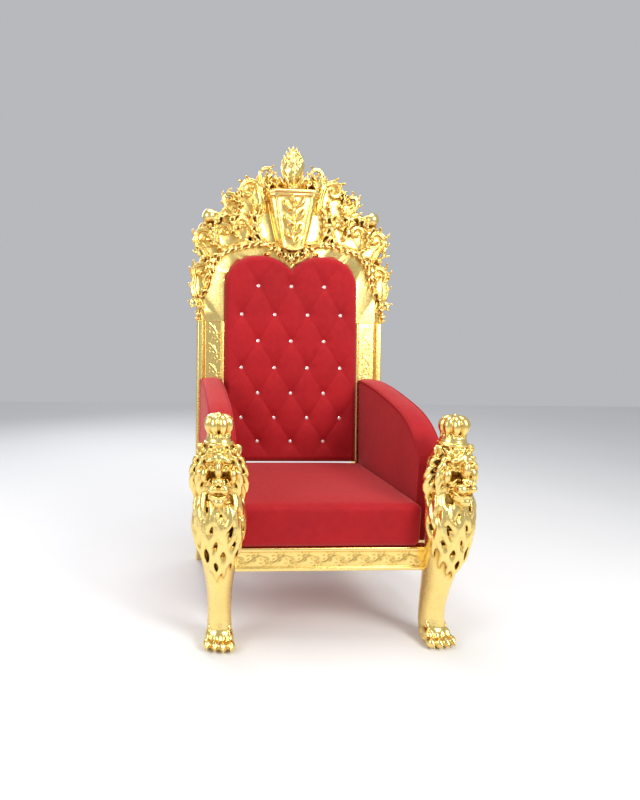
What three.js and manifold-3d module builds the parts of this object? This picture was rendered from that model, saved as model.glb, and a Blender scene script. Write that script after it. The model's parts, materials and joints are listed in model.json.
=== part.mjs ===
// A lion throne: a tall chair of carved and gilded wood, upholstered in red velvet.
// Two crowned lions stand as the front legs and carry the arms. Two rear posts run from the floor
// into the frame of the back, and a carved crest with volutes, a tapered keystone and a bud
// closes the frame over a heart-topped, button-tufted back.
// Millimetres, +Z up, -Y is the front. The finished group stands on Z = 0 with its box centred on X and Y.
import * as THREE from "three";
import { mergeVertices } from "three/addons/utils/BufferGeometryUtils.js";
import Module from "manifold-3d";

const wasm = await Module();
wasm.setup();

// ---------------------------------------------------------------- driving dimensions

const GAP = 0.4; // clearance between neighbouring pieces
const SIDES = [
  ["left", -1],
  ["right", 1],
];

const RAIL = { top: 325, bottom: 243, front: 2, thick: 40, proud: 11, fillet: 4, tenon: 22, beside: 34 };
const SIDE_RAIL = { start: 43, end: 612 };
const SEAT = { top: 473, front: -6, back: 593, frontHalf: 311, backHalf: 297, crown: 12, corner: 20 };

// The lion is built on the axis of its leg. It is turned outwards, and leans outwards as it rises.
const LION = { x: 364, turn: 8, lean: 0.027, back: 62 };
const LION_BODY = [
  // height, centre Y, half width, half depth
  { z: 16, y: -16, w: 43, d: 52 },
  { z: 62, y: -2, w: 42, d: 47 },
  { z: 112, y: 5, w: 40, d: 46 },
  { z: 190, y: -5, w: 43, d: 56 },
  { z: 250, y: -15, w: 52, d: 62 },
  { z: 312, y: -26, w: 66, d: 64 },
  { z: 380, y: -36, w: 76, d: 64 },
  { z: 440, y: -40, w: 79, d: 64 },
  { z: 492, y: -32, w: 73, d: 57 },
  { z: 530, y: -20, w: 67, d: 54 },
  { z: 580, y: -14, w: 70, d: 58 },
  { z: 634, y: -12, w: 70, d: 58 },
  { z: 672, y: -10, w: 56, d: 50 },
  { z: 694, y: -10, w: 38, d: 38 },
];
const CROWN = { bottom: 684, bandTop: 714, top: 779, band: 39, dome: 49, y: -18, lobes: 6 };

// The back leans about the seat line. Its own frame: X across, Y through it, Z along it from the seat line.
const BACK = { lean: THREE.MathUtils.degToRad(7.8), y: 629, z: 465.5, thick: 46 };
const PANEL = { half: 285, shoulder: 742, lobeX: 139, lobeTop: 879, cusp: 820 };
const POST = { outer: 400, groove: 370, crestFrom: 596, lip: 10, lipProud: 8, bead: 4 };
const REAR_LEG = { x: 362, half: 30, footHalf: 22, footY: 716, depth: 56, footDepth: 46 };

const ARM = { inner: 300, wide: 86, splay: 0.025, top: 816, front: 63, crown: 9 };

const TUFT = {
  rows: [748, 627, 515, 401, 293, 188, 88], pitch: 142,
  proud: 32, deep: 12, edge: 12, rear: 22, floor: 15, mouth: 60, tall: 0.8,
};
const BUTTON = { radius: 9, thick: 6 };

// ---------------------------------------------------------------- materials

const gilding = new THREE.MeshStandardMaterial({ color: 0xd9a52b, roughness: 0.28, metalness: 0.9 });
const velvet = new THREE.MeshStandardMaterial({ color: 0xb80d14, roughness: 0.85, metalness: 0 });
const crystal = new THREE.MeshStandardMaterial({ color: 0xf4ece6, roughness: 0.08, metalness: 0.2 });

// ---------------------------------------------------------------- building blocks

// A closed three.js geometry as a manifold-3d solid. Faces that a pointed end has shrunk to nothing are dropped.
function solid(geometry) {
  const bare = geometry.index ? geometry.toNonIndexed() : geometry.clone();
  bare.deleteAttribute("normal");
  bare.deleteAttribute("uv");
  const merged = mergeVertices(bare, 1e-3);
  const faces = [];
  for (let i = 0; i < merged.index.count; i += 3) {
    const [a, b, c] = [0, 1, 2].map((k) => merged.index.getX(i + k));
    if (a !== b && b !== c && c !== a) faces.push(a, b, c);
  }
  const vertProperties = merged.attributes.position.array;
  return new wasm.Manifold(new wasm.Mesh({ numProp: 3, vertProperties, triVerts: new Uint32Array(faces) }));
}

const joined = (solids) => solids.reduce((whole, piece) => whole.add(piece));

// Moves every vertex of a geometry by a function of its position.
function deformed(geometry, place) {
  const position = geometry.attributes.position;
  for (let i = 0; i < position.count; i++) {
    const p = place(new THREE.Vector3().fromBufferAttribute(position, i));
    position.setXYZ(i, p.x, p.y, p.z);
  }
  return geometry;
}

function box(low, high) {
  const size = high.map((h, k) => h - low[k]);
  const centre = high.map((h, k) => (h + low[k]) / 2);
  return solid(new THREE.BoxGeometry(...size).translate(...centre));
}

function ellipsoid([x, y, z], radii, across = 6, down = 4) {
  return solid(new THREE.SphereGeometry(1, across, down).rotateX(Math.PI / 2).scale(...radii).translate(x, y, z));
}

// An upright form through level elliptical rings, with its foot and head closed flat.
function lofted(rings, sides) {
  const last = rings.length - 1;
  const tube = new THREE.CylinderGeometry(1, 1, 1, sides, last);
  return solid(
    deformed(tube, (p) => {
      const ring = rings[Math.round((p.y + 0.5) * last)];
      return p.set(p.x * ring.w, ring.y - p.z * ring.d, ring.z);
    }),
  );
}

// A bar swept along a curve. sizeAt(t) gives its half width and half height, and up is the way its height points.
function swept(curve, up, sizeAt, steps, sides) {
  const tube = new THREE.CylinderGeometry(1, 1, 1, sides, steps);
  return solid(
    deformed(tube, (p) => {
      const t = THREE.MathUtils.clamp(0.5 - p.y, 0, 1);
      const along = curve.getTangent(t);
      const across = new THREE.Vector3().crossVectors(up, along).normalize();
      const height = new THREE.Vector3().crossVectors(along, across);
      const [wide, high] = sizeAt(t);
      return curve.getPoint(t).addScaledVector(across, p.x * wide).addScaledVector(height, p.z * high);
    }),
  );
}

// A lock of hair or a slim leaf: swells a little from its root and ends in a point.
function lock(points, up, wide, high, steps = 3, sides = 3) {
  const curve = new THREE.CatmullRomCurve3(points.map((p) => new THREE.Vector3(...p)));
  const size = (t) => (t > 0.99 ? 0 : Math.sqrt(1 - t) * (0.75 + 0.9 * t));
  return swept(curve, up, (t) => [wide * size(t), high * size(t)], steps, sides);
}

// ---------------------------------------------------------------- the lions

// Where the lion's skin is at a height and an angle from its front, and which way it faces there.
function skin(z, angle) {
  const above = Math.max(1, LION_BODY.findIndex((ring) => ring.z >= z));
  const [low, high] = [LION_BODY[above - 1], LION_BODY[above]];
  const t = (z - low.z) / (high.z - low.z);
  const at = (key) => THREE.MathUtils.lerp(low[key], high[key], t);
  const point = new THREE.Vector3(at("w") * Math.sin(angle), at("y") - at("d") * Math.cos(angle), z);
  return { point, out: new THREE.Vector3(Math.sin(angle), -Math.cos(angle), 0) };
}

// Locks that hang down the chest in tiers, each tier narrower than the one above, to a point at the front.
function chestLocks() {
  const tiers = [
    { from: 528, to: 418, count: 5, spread: 1.5 },
    { from: 446, to: 336, count: 4, spread: 1.25 },
    { from: 372, to: 286, count: 3, spread: 0.8 },
    { from: 318, to: 248, count: 2, spread: 0.22 },
  ];
  return tiers.flatMap(({ from, to, count, spread }) =>
    Array.from({ length: count }, (_, i) => {
      const angle = THREE.MathUtils.lerp(-spread, spread, i / (count - 1));
      const points = [0, 0.4, 0.75, 1].map((t, k) => {
        const swing = 0.16 * Math.sin(t * Math.PI * 1.6) * (angle < 0 ? -1 : 1);
        const { point, out } = skin(THREE.MathUtils.lerp(from, to, t), angle * (1 - 0.25 * t) + swing);
        return point.addScaledVector(out, [-4, 3, 4, 0][k]).toArray();
      });
      return lock(points, skin(from, angle).out, 24, 15);
    }),
  );
}

// Locks that frame the face, from the ear down to the throat.
function faceLocks(side) {
  const count = 3;
  return Array.from({ length: count }, (_, i) => {
    const t = i / (count - 1);
    const z = THREE.MathUtils.lerp(662, 548, t);
    const root = [side * 44, -48 - 10 * t, z + 6];
    const bend = [side * THREE.MathUtils.lerp(72, 68, t), -42 - 8 * t, z - 16];
    const tip = [side * THREE.MathUtils.lerp(77, 66, t), -30 - 14 * t, z - 58];
    return lock([root, bend, tip], new THREE.Vector3(side * 0.5, -1, 0), 22, 15);
  });
}

function face() {
  const pair = ([x, y, z], radii, ...grid) => [-1, 1].map((side) => ellipsoid([side * x, y, z], radii, ...grid));
  return [
    ellipsoid([0, -50, 632], [46, 44, 44], 8, 4), // forehead
    ellipsoid([0, -92, 606], [18, 42, 29]), // bridge of the nose
    ellipsoid([0, -120, 586], [19, 20, 13], 6, 3), // nose
    ellipsoid([0, -96, 529], [29, 36, 19]), // chin
    ...pair([20, -86, 639], [22, 17, 12], 6, 3), // brows
    ...pair([18, -106, 564], [24, 34, 21]), // muzzle
    ...pair([38, -62, 592], [27, 38, 38]), // cheeks
    ...pair([57, -34, 663], [16, 15, 21], 6, 3), // ears
  ];
}

// A closed crown: a plain band, and a dome whose arches swell between their seams.
function crown() {
  const steps = CROWN.lobes * 2;
  const dome = [0, 0.3, 0.65, 0.9].map((t) => {
    const swell = Math.cos((t - 0.35) * 1.75);
    return new THREE.Vector2(CROWN.dome * swell, THREE.MathUtils.lerp(CROWN.bandTop - 6, CROWN.top, t));
  });
  const profile = [
    new THREE.Vector2(0, CROWN.bottom),
    new THREE.Vector2(CROWN.band + 5, CROWN.bottom),
    new THREE.Vector2(CROWN.band, CROWN.bandTop - 10),
    ...dome,
    new THREE.Vector2(0, CROWN.top),
  ];
  const turned = new THREE.LatheGeometry(profile, steps).rotateX(Math.PI / 2);
  const lobed = deformed(turned, (p) => {
    const seam = Math.round((Math.atan2(p.y, p.x) / Math.PI) * CROWN.lobes) % 2 !== 0;
    const inward = seam && p.z > CROWN.bandTop - 8 ? 0.86 : 1;
    return p.set(p.x * inward, p.y * inward + CROWN.y, p.z);
  });
  return solid(lobed);
}

// Four toes and the mound behind them. The toe just off the middle leads.
function paw() {
  const toes = [-1.5, -0.5, 0.5, 1.5].map((place) => {
    const behind = Math.abs(place - 0.3);
    return ellipsoid([place * 27, 7 * behind - 63, 21 - behind], [16.5 - 0.6 * behind, 38, 27]);
  });
  return [...toes, ellipsoid([0, -18, 30], [50, 54, 44], 8, 5)];
}

// The leg's square heart, which the rails and the arm are jointed to.
const LION_HEART = box([-34, -10, 236], [34, LION.back, 668]);

// The left lion, or its mirror image on the right.
function lion(side) {
  const parts = [lofted(LION_BODY, 10), crown(), ...face(), ...paw()];
  const hair = [...chestLocks(), ...faceLocks(-1), ...faceLocks(1)];
  const whole = joined([...parts, ...hair]).rotate([0, 0, -LION.turn]).add(LION_HEART);
  const leaning = [1, 0, 0, 0, 0, 1, 0, 0, -LION.lean, 0, 1, 0, -LION.x, 0, 0, 1];
  // Cut flat underfoot and behind, and let the seat and the rails in.
  const room = box([-600, -300, 0], [600, LION.back, 900]);
  const standing = whole.transform(leaning).intersect(room);
  const made = [frontRailRoom(), sideRailRoom(), seatRoom()].reduce((left, cut) => left.subtract(cut), standing);
  return side < 0 ? made : made.mirror([1, 0, 0]);
}

// The spaces that the left lion's neighbours take, each with its clearance.
function frontRailRoom() {
  const end = LION.x - RAIL.tenon + GAP;
  const [y0, y1] = [RAIL.front - RAIL.proud - GAP, RAIL.front + RAIL.thick + GAP];
  return box([-end, y0, RAIL.bottom - GAP], [end, y1, RAIL.top + GAP]);
}

function sideRailRoom() {
  const outer = -LION.x - RAIL.beside;
  const inner = outer + RAIL.thick + GAP;
  return box([outer - RAIL.fillet - GAP, RAIL.front + RAIL.thick + GAP, RAIL.bottom - GAP], [inner, 900, RAIL.top + GAP]);
}

function seatRoom() {
  const half = SEAT.frontHalf + GAP;
  return box([-half, SEAT.front - GAP, RAIL.top - GAP], [half, 900, SEAT.top + SEAT.crown + GAP]);
}

// ---------------------------------------------------------------- seat rails

// A running scroll along a rail: one waving stem, with a leaf curling back off each crest.
function railCarving(length, pitch) {
  const front = new THREE.Vector3(0, -1, 0);
  const middle = (RAIL.top + RAIL.bottom) / 2;
  const count = Math.round(length / pitch);
  const step = length / count;
  const at = (place, rise, proud) => [step * (place - count / 2), -proud, middle + rise];
  const bends = Array.from({ length: count + 1 }, (_, i) => at(i, i % 2 ? 16 : -16, 1));
  const stem = new THREE.CatmullRomCurve3(bends.map((p) => new THREE.Vector3(...p)));
  const leaves = Array.from({ length: count }, (_, i) => {
    const up = i % 2 ? -1 : 1;
    return lock([at(i, up * -4, 0), at(i + 0.1, up * 22, 2), at(i + 0.62, up * 20, 3)], front, 13, 9);
  });
  return [swept(stem, front, () => [6, 6], 2 * count, 4), ...leaves];
}

// A rail with a plain rounded edge above and below its carved face. It lies along X, with its face at Y = 0.
function rail(length, carved) {
  const face = new THREE.Shape();
  const [h, t, f] = [RAIL.top - RAIL.bottom, RAIL.thick, RAIL.fillet];
  face.moveTo(0, 0).lineTo(t, 0).lineTo(t, h).lineTo(0, h);
  face.lineTo(-f, h - f).lineTo(-f, h - 2.5 * f).lineTo(0, h - 3.5 * f);
  face.lineTo(0, 3.5 * f).lineTo(-f, 2.5 * f).lineTo(-f, f).closePath();
  const bar = new THREE.ExtrudeGeometry(face, { depth: length, bevelEnabled: false, steps: 1 });
  // The profile's X is the rail's depth and its Y is height.
  bar.applyMatrix4(new THREE.Matrix4().makeBasis(
    new THREE.Vector3(0, 1, 0), new THREE.Vector3(0, 0, 1), new THREE.Vector3(1, 0, 0)));
  const body = solid(bar.translate(-length / 2, 0, RAIL.bottom));
  return carved ? joined([body, ...railCarving(length - 50, 62)]) : body;
}

// ---------------------------------------------------------------- upholstery

// Rounds the rim of a flat-topped cushion and crowns its top. u and v run from -1 to 1 across it.
const crowned = (u, v) => (1 - u ** 4) * (1 - v ** 4);

function seatCushion() {
  const block = new THREE.BoxGeometry(2, 2, 2, 8, 8, 3);
  const [low, high] = [RAIL.top + GAP, SEAT.top];
  return solid(
    deformed(block, (p) => {
      const [u, v, level] = [p.x, p.y, (p.z + 1) / 2];
      const y = THREE.MathUtils.mapLinear(v, -1, 1, SEAT.front, SEAT.back);
      const half = THREE.MathUtils.mapLinear(v, -1, 1, SEAT.frontHalf, SEAT.backHalf);
      const top = level > 0.99;
      const tuck = top ? SEAT.corner * 0.45 : 0;
      const x = u * (half - (Math.abs(u) > 0.99 ? tuck : 0));
      const front = v < -0.99 ? tuck : 0;
      const z = THREE.MathUtils.lerp(low, high, level > 0.99 ? 1 : level * 1.36);
      return p.set(x, y + front, z + (top ? SEAT.crown * crowned(u, v) : 0));
    }),
  );
}

// The arm's side outline: level at the back, and sweeping down behind the lion's head.
function armOutline() {
  const slope = Math.tan(BACK.lean);
  const rear = (z) => BACK.y - POST.bead - 2 * GAP + (z - BACK.z) * slope;
  const outline = new THREE.Shape();
  outline.moveTo(ARM.front, RAIL.top + GAP).lineTo(rear(RAIL.top), RAIL.top + GAP);
  outline.lineTo(rear(ARM.top), ARM.top);
  outline.bezierCurveTo(560, ARM.top + 2, 430, 792, 330, 772);
  outline.bezierCurveTo(230, 752, 130, 722, ARM.front, 618);
  outline.closePath();
  return outline;
}

function arm(side) {
  const bevel = 9;
  const slab = new THREE.ExtrudeGeometry(armOutline(), {
    depth: ARM.wide - 2 * bevel, curveSegments: 7, bevelSize: bevel, bevelThickness: bevel,
    bevelOffset: -bevel, bevelSegments: 1,
  });
  slab.applyMatrix4(new THREE.Matrix4().makeBasis(
    new THREE.Vector3(0, 1, 0), new THREE.Vector3(0, 0, 1), new THREE.Vector3(1, 0, 0)));
  slab.translate(ARM.inner + bevel, 0, 0);
  const made = solid(deformed(slab, (p) => p.set(p.x + ARM.splay * (BACK.y - p.y), p.y, p.z)));
  return side > 0 ? made : made.mirror([1, 0, 0]);
}

// ---------------------------------------------------------------- the back

// The heart-topped opening, drawn up one side, over both lobes and down the other, grown by an offset.
function panelOutline(grow, bottom) {
  const [half, lobe] = [PANEL.half + grow, PANEL.lobeTop + grow];
  const cusp = PANEL.cusp + grow;
  const outline = new THREE.Shape();
  outline.moveTo(-half, bottom).lineTo(half, bottom).lineTo(half, PANEL.shoulder);
  outline.bezierCurveTo(half, PANEL.shoulder + 80, half - 60, lobe, PANEL.lobeX, lobe);
  outline.bezierCurveTo(80, lobe, 30, lobe - 25, 0, cusp);
  outline.bezierCurveTo(-30, lobe - 25, -80, lobe, -PANEL.lobeX, lobe);
  outline.bezierCurveTo(60 - half, lobe, -half, PANEL.shoulder + 80, -half, PANEL.shoulder);
  outline.closePath();
  return outline;
}

// A flat shape standing in the back's own frame, from depth y0 to y1.
function slab(shape, y0, y1, curveSegments = 5) {
  const plate = new THREE.ExtrudeGeometry(shape, { depth: y1 - y0, bevelEnabled: false, curveSegments });
  return solid(plate.rotateX(Math.PI / 2).translate(0, y1, 0));
}

const buttonPlaces = TUFT.rows.flatMap((z, row) => {
  const count = row % 2 ? 4 : 3;
  return Array.from({ length: count }, (_, i) => ({ x: (i - (count - 1) / 2) * TUFT.pitch, z }));
});

// The hollow that a button draws in: a four-sided funnel with a small flat floor for the button.
function pocket({ x, z }) {
  const high = TUFT.proud - TUFT.deep;
  const funnel = new THREE.CylinderGeometry(TUFT.floor, TUFT.mouth, high + 1, 4);
  funnel.scale(1, 1, TUFT.tall).translate(x, -TUFT.deep - (high + 1) / 2, z);
  return solid(funnel);
}

function backCushion() {
  const edge = TUFT.edge;
  const pad = new THREE.ExtrudeGeometry(panelOutline(-GAP, 2), {
    depth: TUFT.proud + TUFT.rear - 2 * edge, curveSegments: 5, bevelSegments: 1,
    bevelSize: edge, bevelThickness: edge, bevelOffset: -edge,
  });
  const whole = solid(pad.rotateX(Math.PI / 2).translate(0, TUFT.rear - edge, 0));
  return buttonPlaces.map(pocket).reduce((left, cut) => left.subtract(cut), whole);
}

const rearPanel = () => slab(panelOutline(-GAP, 2), TUFT.rear + GAP, BACK.thick - 4);

function button({ x, z }) {
  const gem = new THREE.CylinderGeometry(BUTTON.radius, 0, BUTTON.thick, 6);
  return solid(gem.translate(x, -TUFT.deep - BUTTON.thick / 2 - GAP, z));
}

// The carved frame's section across a post: a lip round the upholstery, a flat for the carving, and a groove.
function postSection() {
  const [inner, outer] = [PANEL.half, POST.outer];
  const section = new THREE.Shape();
  section.moveTo(inner, BACK.thick).lineTo(inner, -POST.lipProud).lineTo(inner + POST.lip, -POST.lipProud);
  section.lineTo(inner + POST.lip + 4, 0).lineTo(POST.groove - 6, 0).lineTo(POST.groove, 7);
  section.lineTo(POST.groove + 6, -POST.bead).lineTo(outer - 5, -POST.bead).lineTo(outer, 4).lineTo(outer, BACK.thick);
  section.closePath();
  return section;
}

// A post stands in the back's frame above the seat, and sweeps back to its foot below it.
function post(side) {
  const stile = new THREE.ExtrudeGeometry(postSection(), { depth: POST.crestFrom + 60, bevelEnabled: false });
  const upper = solid(stile.translate(0, 0, -60)).transform(backMatrix());
  const rings = [
    { z: 0, y: REAR_LEG.footY, w: REAR_LEG.footHalf, d: REAR_LEG.footDepth / 2 },
    { z: 110, y: 678, w: 25, d: 25 },
    { z: 230, y: 650, w: 29, d: 28 },
    { z: 330, y: 642, w: 30, d: 29 },
    { z: 470, y: 654, w: 30, d: 24 },
  ];
  const leg = squared(rings).translate([REAR_LEG.x, 0, 0]);
  const whole = upper.add(leg);
  return side > 0 ? whole : whole.mirror([1, 0, 0]);
}

// A square bar lofted through level rings.
function squared(rings) {
  const last = rings.length - 1;
  const bar = new THREE.BoxGeometry(2, 2, 1, 1, 1, last);
  return solid(
    deformed(bar, (p) => {
      const ring = rings[Math.round((p.z + 0.5) * last)];
      return p.set(p.x * ring.w, ring.y + p.y * ring.d, ring.z);
    }),
  );
}

// ---------------------------------------------------------------- the crest

// Each volute: centre, outer radius, turns of its curl, where the curl starts in half turns, half width of its stem.
const VOLUTES = [
  { x: 104, z: 1229, r: 30, turns: 0.85, from: -0.4, stock: 13 },
  { x: 184, z: 1166, r: 44, turns: 0.95, from: 1.1, stock: 15 },
  { x: 258, z: 1140, r: 28, turns: 0.85, from: 0.95, stock: 12 },
  { x: 208, z: 1044, r: 32, turns: 0.85, from: 0.4, stock: 12 },
  { x: 288, z: 1034, r: 32, turns: 0.85, from: 0.9, stock: 12 },
  { x: 370, z: 965, r: 38, turns: 0.95, from: 0.9, stock: 14 },
  { x: 386, z: 806, r: 38, turns: 0.95, from: -0.7, stock: 14 },
  { x: 418, z: 690, r: 20, turns: 0.7, from: -0.6, stock: 11 },
];
const CREST = { proud: 4, relief: 18, ballX: 350, ballZ: 1050, ballR: 27 };
const KEYSTONE = { top: 1137, bottom: 905, topHalf: 104, bottomHalf: 50, proud: 62 };
const BUD = { bottom: 1146, top: 1346, half: 60, depth: 44, y: -14 };
const PIERCINGS = [
  { x: 92, z: 1180, rx: 17, rz: 13 },
  { x: 188, z: 955, rx: 22, rz: 14 },
];

class Volute extends THREE.Curve {
  constructor(v, side) {
    super();
    Object.assign(this, { v, side });
  }
  getPoint(t, target = new THREE.Vector3()) {
    const { x, z, r, turns, from } = this.v;
    const angle = Math.PI * (from + 2 * turns * t);
    const radius = r * (1 - 0.72 * t);
    return target.set(this.side * (x + radius * Math.cos(angle)), -CREST.proud - 6 * t, z + radius * Math.sin(angle));
  }
}

function volute(v, side) {
  const front = new THREE.Vector3(0, -1, 0);
  const size = (t) => [v.stock * (1 - 0.35 * t), CREST.relief * (1 - 0.2 * t)];
  return swept(new Volute(v, side), front, size, 7, 4);
}

// The board behind the carving. Its edge follows the carving from one post up, over the top and down to the other.
function crestBoard() {
  const edge = [
    [402, 604], [410, 690], [420, 760], [424, 822], [400, 880], [406, 960], [384, 1030], [350, 1062],
    [308, 1076], [286, 1140], [240, 1176], [190, 1206], [130, 1240], [80, 1222], [0, 1190],
  ];
  const whole = [...edge, ...edge.slice(0, -1).reverse().map(([x, z]) => [-x, z])];
  const board = new THREE.Shape(whole.map(([x, z]) => new THREE.Vector2(x, z)));
  return slab(board, 4, BACK.thick);
}

// Slim leaves beside the keystone, round the bud, and off the volutes along the side.
function crestLeaves(side) {
  const front = new THREE.Vector3(0, -1, 0);
  const leaves = [
    [[60, 1140], [72, 1180], [66, 1236]],
    [[118, 1150], [140, 1196], [128, 1250]],
    [[126, 930], [146, 1010], [132, 1110]],
    [[158, 925], [186, 1000], [158, 1075]],
    [[238, 950], [262, 990], [246, 1080]],
    [[330, 870], [352, 905], [408, 905]],
    [[352, 868], [376, 884], [414, 868]],
    [[392, 620], [404, 660], [398, 745]],
    [[300, 880], [322, 940], [312, 1010]],
  ];
  return leaves.map((points) =>
    lock(points.map(([x, z], k) => [side * x, [2, -16, -8][k], z]), front, 15, 14),
  );
}

// A tapered block that stands out over the cusp, with a plain cap.
function keystone() {
  const taper = (t) => THREE.MathUtils.lerp(KEYSTONE.bottomHalf, KEYSTONE.topHalf, t ** 0.8);
  const block = new THREE.BoxGeometry(2, 2, 1, 4, 1, 3);
  return solid(
    deformed(block, (p) => {
      const t = p.z + 0.5;
      const proud = THREE.MathUtils.lerp(KEYSTONE.proud * 0.6, KEYSTONE.proud, t) * (1 - 0.3 * p.x ** 2);
      const z = THREE.MathUtils.lerp(KEYSTONE.bottom, KEYSTONE.top, t);
      return p.set(p.x * taper(t), p.y > 0 ? 12 : -proud, z);
    }),
  );
}

// The bud on top: a turned acorn with overlapping leaves, flattened from front to back.
function bud() {
  const outline = [
    [0, 0], [0.42, 0], [0.5, 0.1], [0.34, 0.2], [0.72, 0.3], [1, 0.46], [0.86, 0.66], [0.5, 0.84], [0.12, 0.97], [0, 1],
  ];
  const profile = outline.map(([r, t]) => new THREE.Vector2(r, THREE.MathUtils.lerp(BUD.bottom, BUD.top, t)));
  const turned = new THREE.LatheGeometry(profile, 10).rotateX(Math.PI / 2);
  return solid(deformed(turned, (p) => p.set(p.x * BUD.half, BUD.y + p.y * BUD.depth, p.z)));
}

function crest() {
  const arch = new THREE.Shape([
    [-POST.outer, POST.crestFrom + GAP], [POST.outer, POST.crestFrom + GAP], [POST.outer, 800], [300, 940],
    [0, 1000], [-300, 940], [-POST.outer, 800],
  ].map(([x, z]) => new THREE.Vector2(x, z)));
  const band = slab(arch, 0, BACK.thick);
  const lip = slab(panelOutline(POST.lip, POST.crestFrom + GAP), -POST.lipProud, 10);
  const below = box([-500, -100, 0], [500, 100, POST.crestFrom + GAP]);
  const carving = SIDES.flatMap(([, side]) => [
    ...VOLUTES.map((v) => volute(v, side)),
    ...crestLeaves(side),
    ellipsoid([side * CREST.ballX, 6, CREST.ballZ], [CREST.ballR, 24, CREST.ballR], 8, 6),
  ]);
  const whole = joined([crestBoard(), band, lip, keystone(), bud(), ...carving]);
  const holes = SIDES.flatMap(([, side]) =>
    PIERCINGS.map(({ x, z, rx, rz }) =>
      solid(new THREE.CylinderGeometry(1, 1, 200, 10).scale(rx, 1, rz).translate(side * x, 0, z)),
    ),
  );
  const opening = slab(panelOutline(0, 100), -100, 100);
  const rear = box([-600, BACK.thick, 0], [600, 200, 1500]);
  return [...holes, opening, below, rear].reduce((left, cut) => left.subtract(cut), whole);
}

// ---------------------------------------------------------------- assembly

// Carries the back's own frame onto the leaning back.
function backMatrix() {
  const leaned = new THREE.Matrix4().makeRotationX(-BACK.lean);
  return new THREE.Matrix4().makeTranslation(0, BACK.y, BACK.z).multiply(leaned).elements;
}

function named(name, made, material) {
  const { numVert, numProp, vertProperties, triVerts } = made.getMesh();
  const position = new Float32Array(numVert * 3);
  for (let i = 0; i < numVert; i++) position.set(vertProperties.subarray(i * numProp, i * numProp + 3), i * 3);
  const geometry = new THREE.BufferGeometry().setAttribute("position", new THREE.BufferAttribute(position, 3));
  geometry.setIndex(new THREE.BufferAttribute(triVerts, 1));
  geometry.computeVertexNormals();
  const mesh = new THREE.Mesh(geometry, material);
  mesh.name = name;
  return mesh;
}

const throne = new THREE.Group();

const back = new THREE.Group();
back.position.set(0, BACK.y, BACK.z);
back.rotation.x = -BACK.lean;
back.add(named("crest", crest(), gilding));
back.add(named("back_cushion", backCushion(), velvet));
back.add(named("outside_back", rearPanel(), velvet));
buttonPlaces.forEach((place, i) => {
  back.add(named(`button_${String(i + 1).padStart(2, "0")}`, button(place), crystal));
});
throne.add(back);

for (const [name, side] of SIDES) {
  throne.add(named(`lion_${name}`, lion(side), gilding));
  throne.add(named(`rear_post_${name}`, post(side), gilding));
  throne.add(named(`arm_${name}`, arm(side), velvet));
}

const frontRail = named("front_rail", rail(2 * (LION.x - RAIL.tenon), true), gilding);
frontRail.position.y = RAIL.front;
throne.add(frontRail);

for (const [name, side] of SIDES) {
  const sideRail = named(`side_rail_${name}`, rail(SIDE_RAIL.end - SIDE_RAIL.start, false), gilding);
  sideRail.rotation.z = (side * Math.PI) / 2;
  sideRail.position.set(side * (LION.x + RAIL.beside), (SIDE_RAIL.start + SIDE_RAIL.end) / 2, 0);
  throne.add(sideRail);
}

const backRail = named("back_rail", rail(2 * (REAR_LEG.x - REAR_LEG.half) - 2, false), gilding);
backRail.rotation.z = Math.PI;
backRail.position.y = 668;
throne.add(backRail);
throne.add(named("seat_cushion", seatCushion(), velvet));

const extent = new THREE.Box3().setFromObject(throne);
throne.position.y = -(extent.min.y + extent.max.y) / 2;

export default throne;
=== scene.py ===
# %% [markdown]
# # A crowned-lion throne
#
# The real object is a carved and gilded chair frame with red velvet upholstery. Two crowned lions are the
# front legs, a carved crest closes the high back, and the padded back is drawn in by rows of small buttons.
#
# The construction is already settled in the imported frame: where each piece stands and how large it is.
# This lesson dresses it. Every new piece is made in metres in the frame's own place, and rides on it.

# %% Load the frame
import json
import math
import random

import bmesh
import bpy
import numpy as np
from mathutils import Matrix, Vector


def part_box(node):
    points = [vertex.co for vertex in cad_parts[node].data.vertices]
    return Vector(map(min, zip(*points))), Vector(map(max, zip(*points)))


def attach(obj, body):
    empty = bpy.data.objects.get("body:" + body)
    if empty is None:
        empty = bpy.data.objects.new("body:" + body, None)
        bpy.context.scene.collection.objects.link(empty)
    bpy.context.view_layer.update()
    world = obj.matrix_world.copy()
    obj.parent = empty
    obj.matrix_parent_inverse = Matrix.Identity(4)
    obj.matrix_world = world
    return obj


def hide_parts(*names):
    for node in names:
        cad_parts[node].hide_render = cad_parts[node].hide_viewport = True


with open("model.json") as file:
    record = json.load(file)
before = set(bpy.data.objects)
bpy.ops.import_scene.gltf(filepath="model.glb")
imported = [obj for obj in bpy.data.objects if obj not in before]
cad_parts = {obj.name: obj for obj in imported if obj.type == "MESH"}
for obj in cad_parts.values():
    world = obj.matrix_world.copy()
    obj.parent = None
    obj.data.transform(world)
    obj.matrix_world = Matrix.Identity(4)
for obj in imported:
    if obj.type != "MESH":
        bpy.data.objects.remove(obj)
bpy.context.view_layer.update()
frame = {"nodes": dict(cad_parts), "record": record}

# %% [markdown]
# ## Camera
#
# The chair is seen from a little to its left and from above the seat, with a fairly wide lens held close.
# The view is set with a place, a heading, a pitch and a small roll. A sideways lens shift puts the chair in
# the middle of the picture without turning the camera, as an architect's camera does.

# %% Sizes shared with the frame
MM = 0.001
LION_BACK = 62 * MM  # the flat back of a lion, behind the plane through the middle of its paws
PAWS_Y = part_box("lion_left")[1][1] - LION_BACK  # that plane, in the frame
print("paws' plane at y =", round(PAWS_Y, 4))

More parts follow.
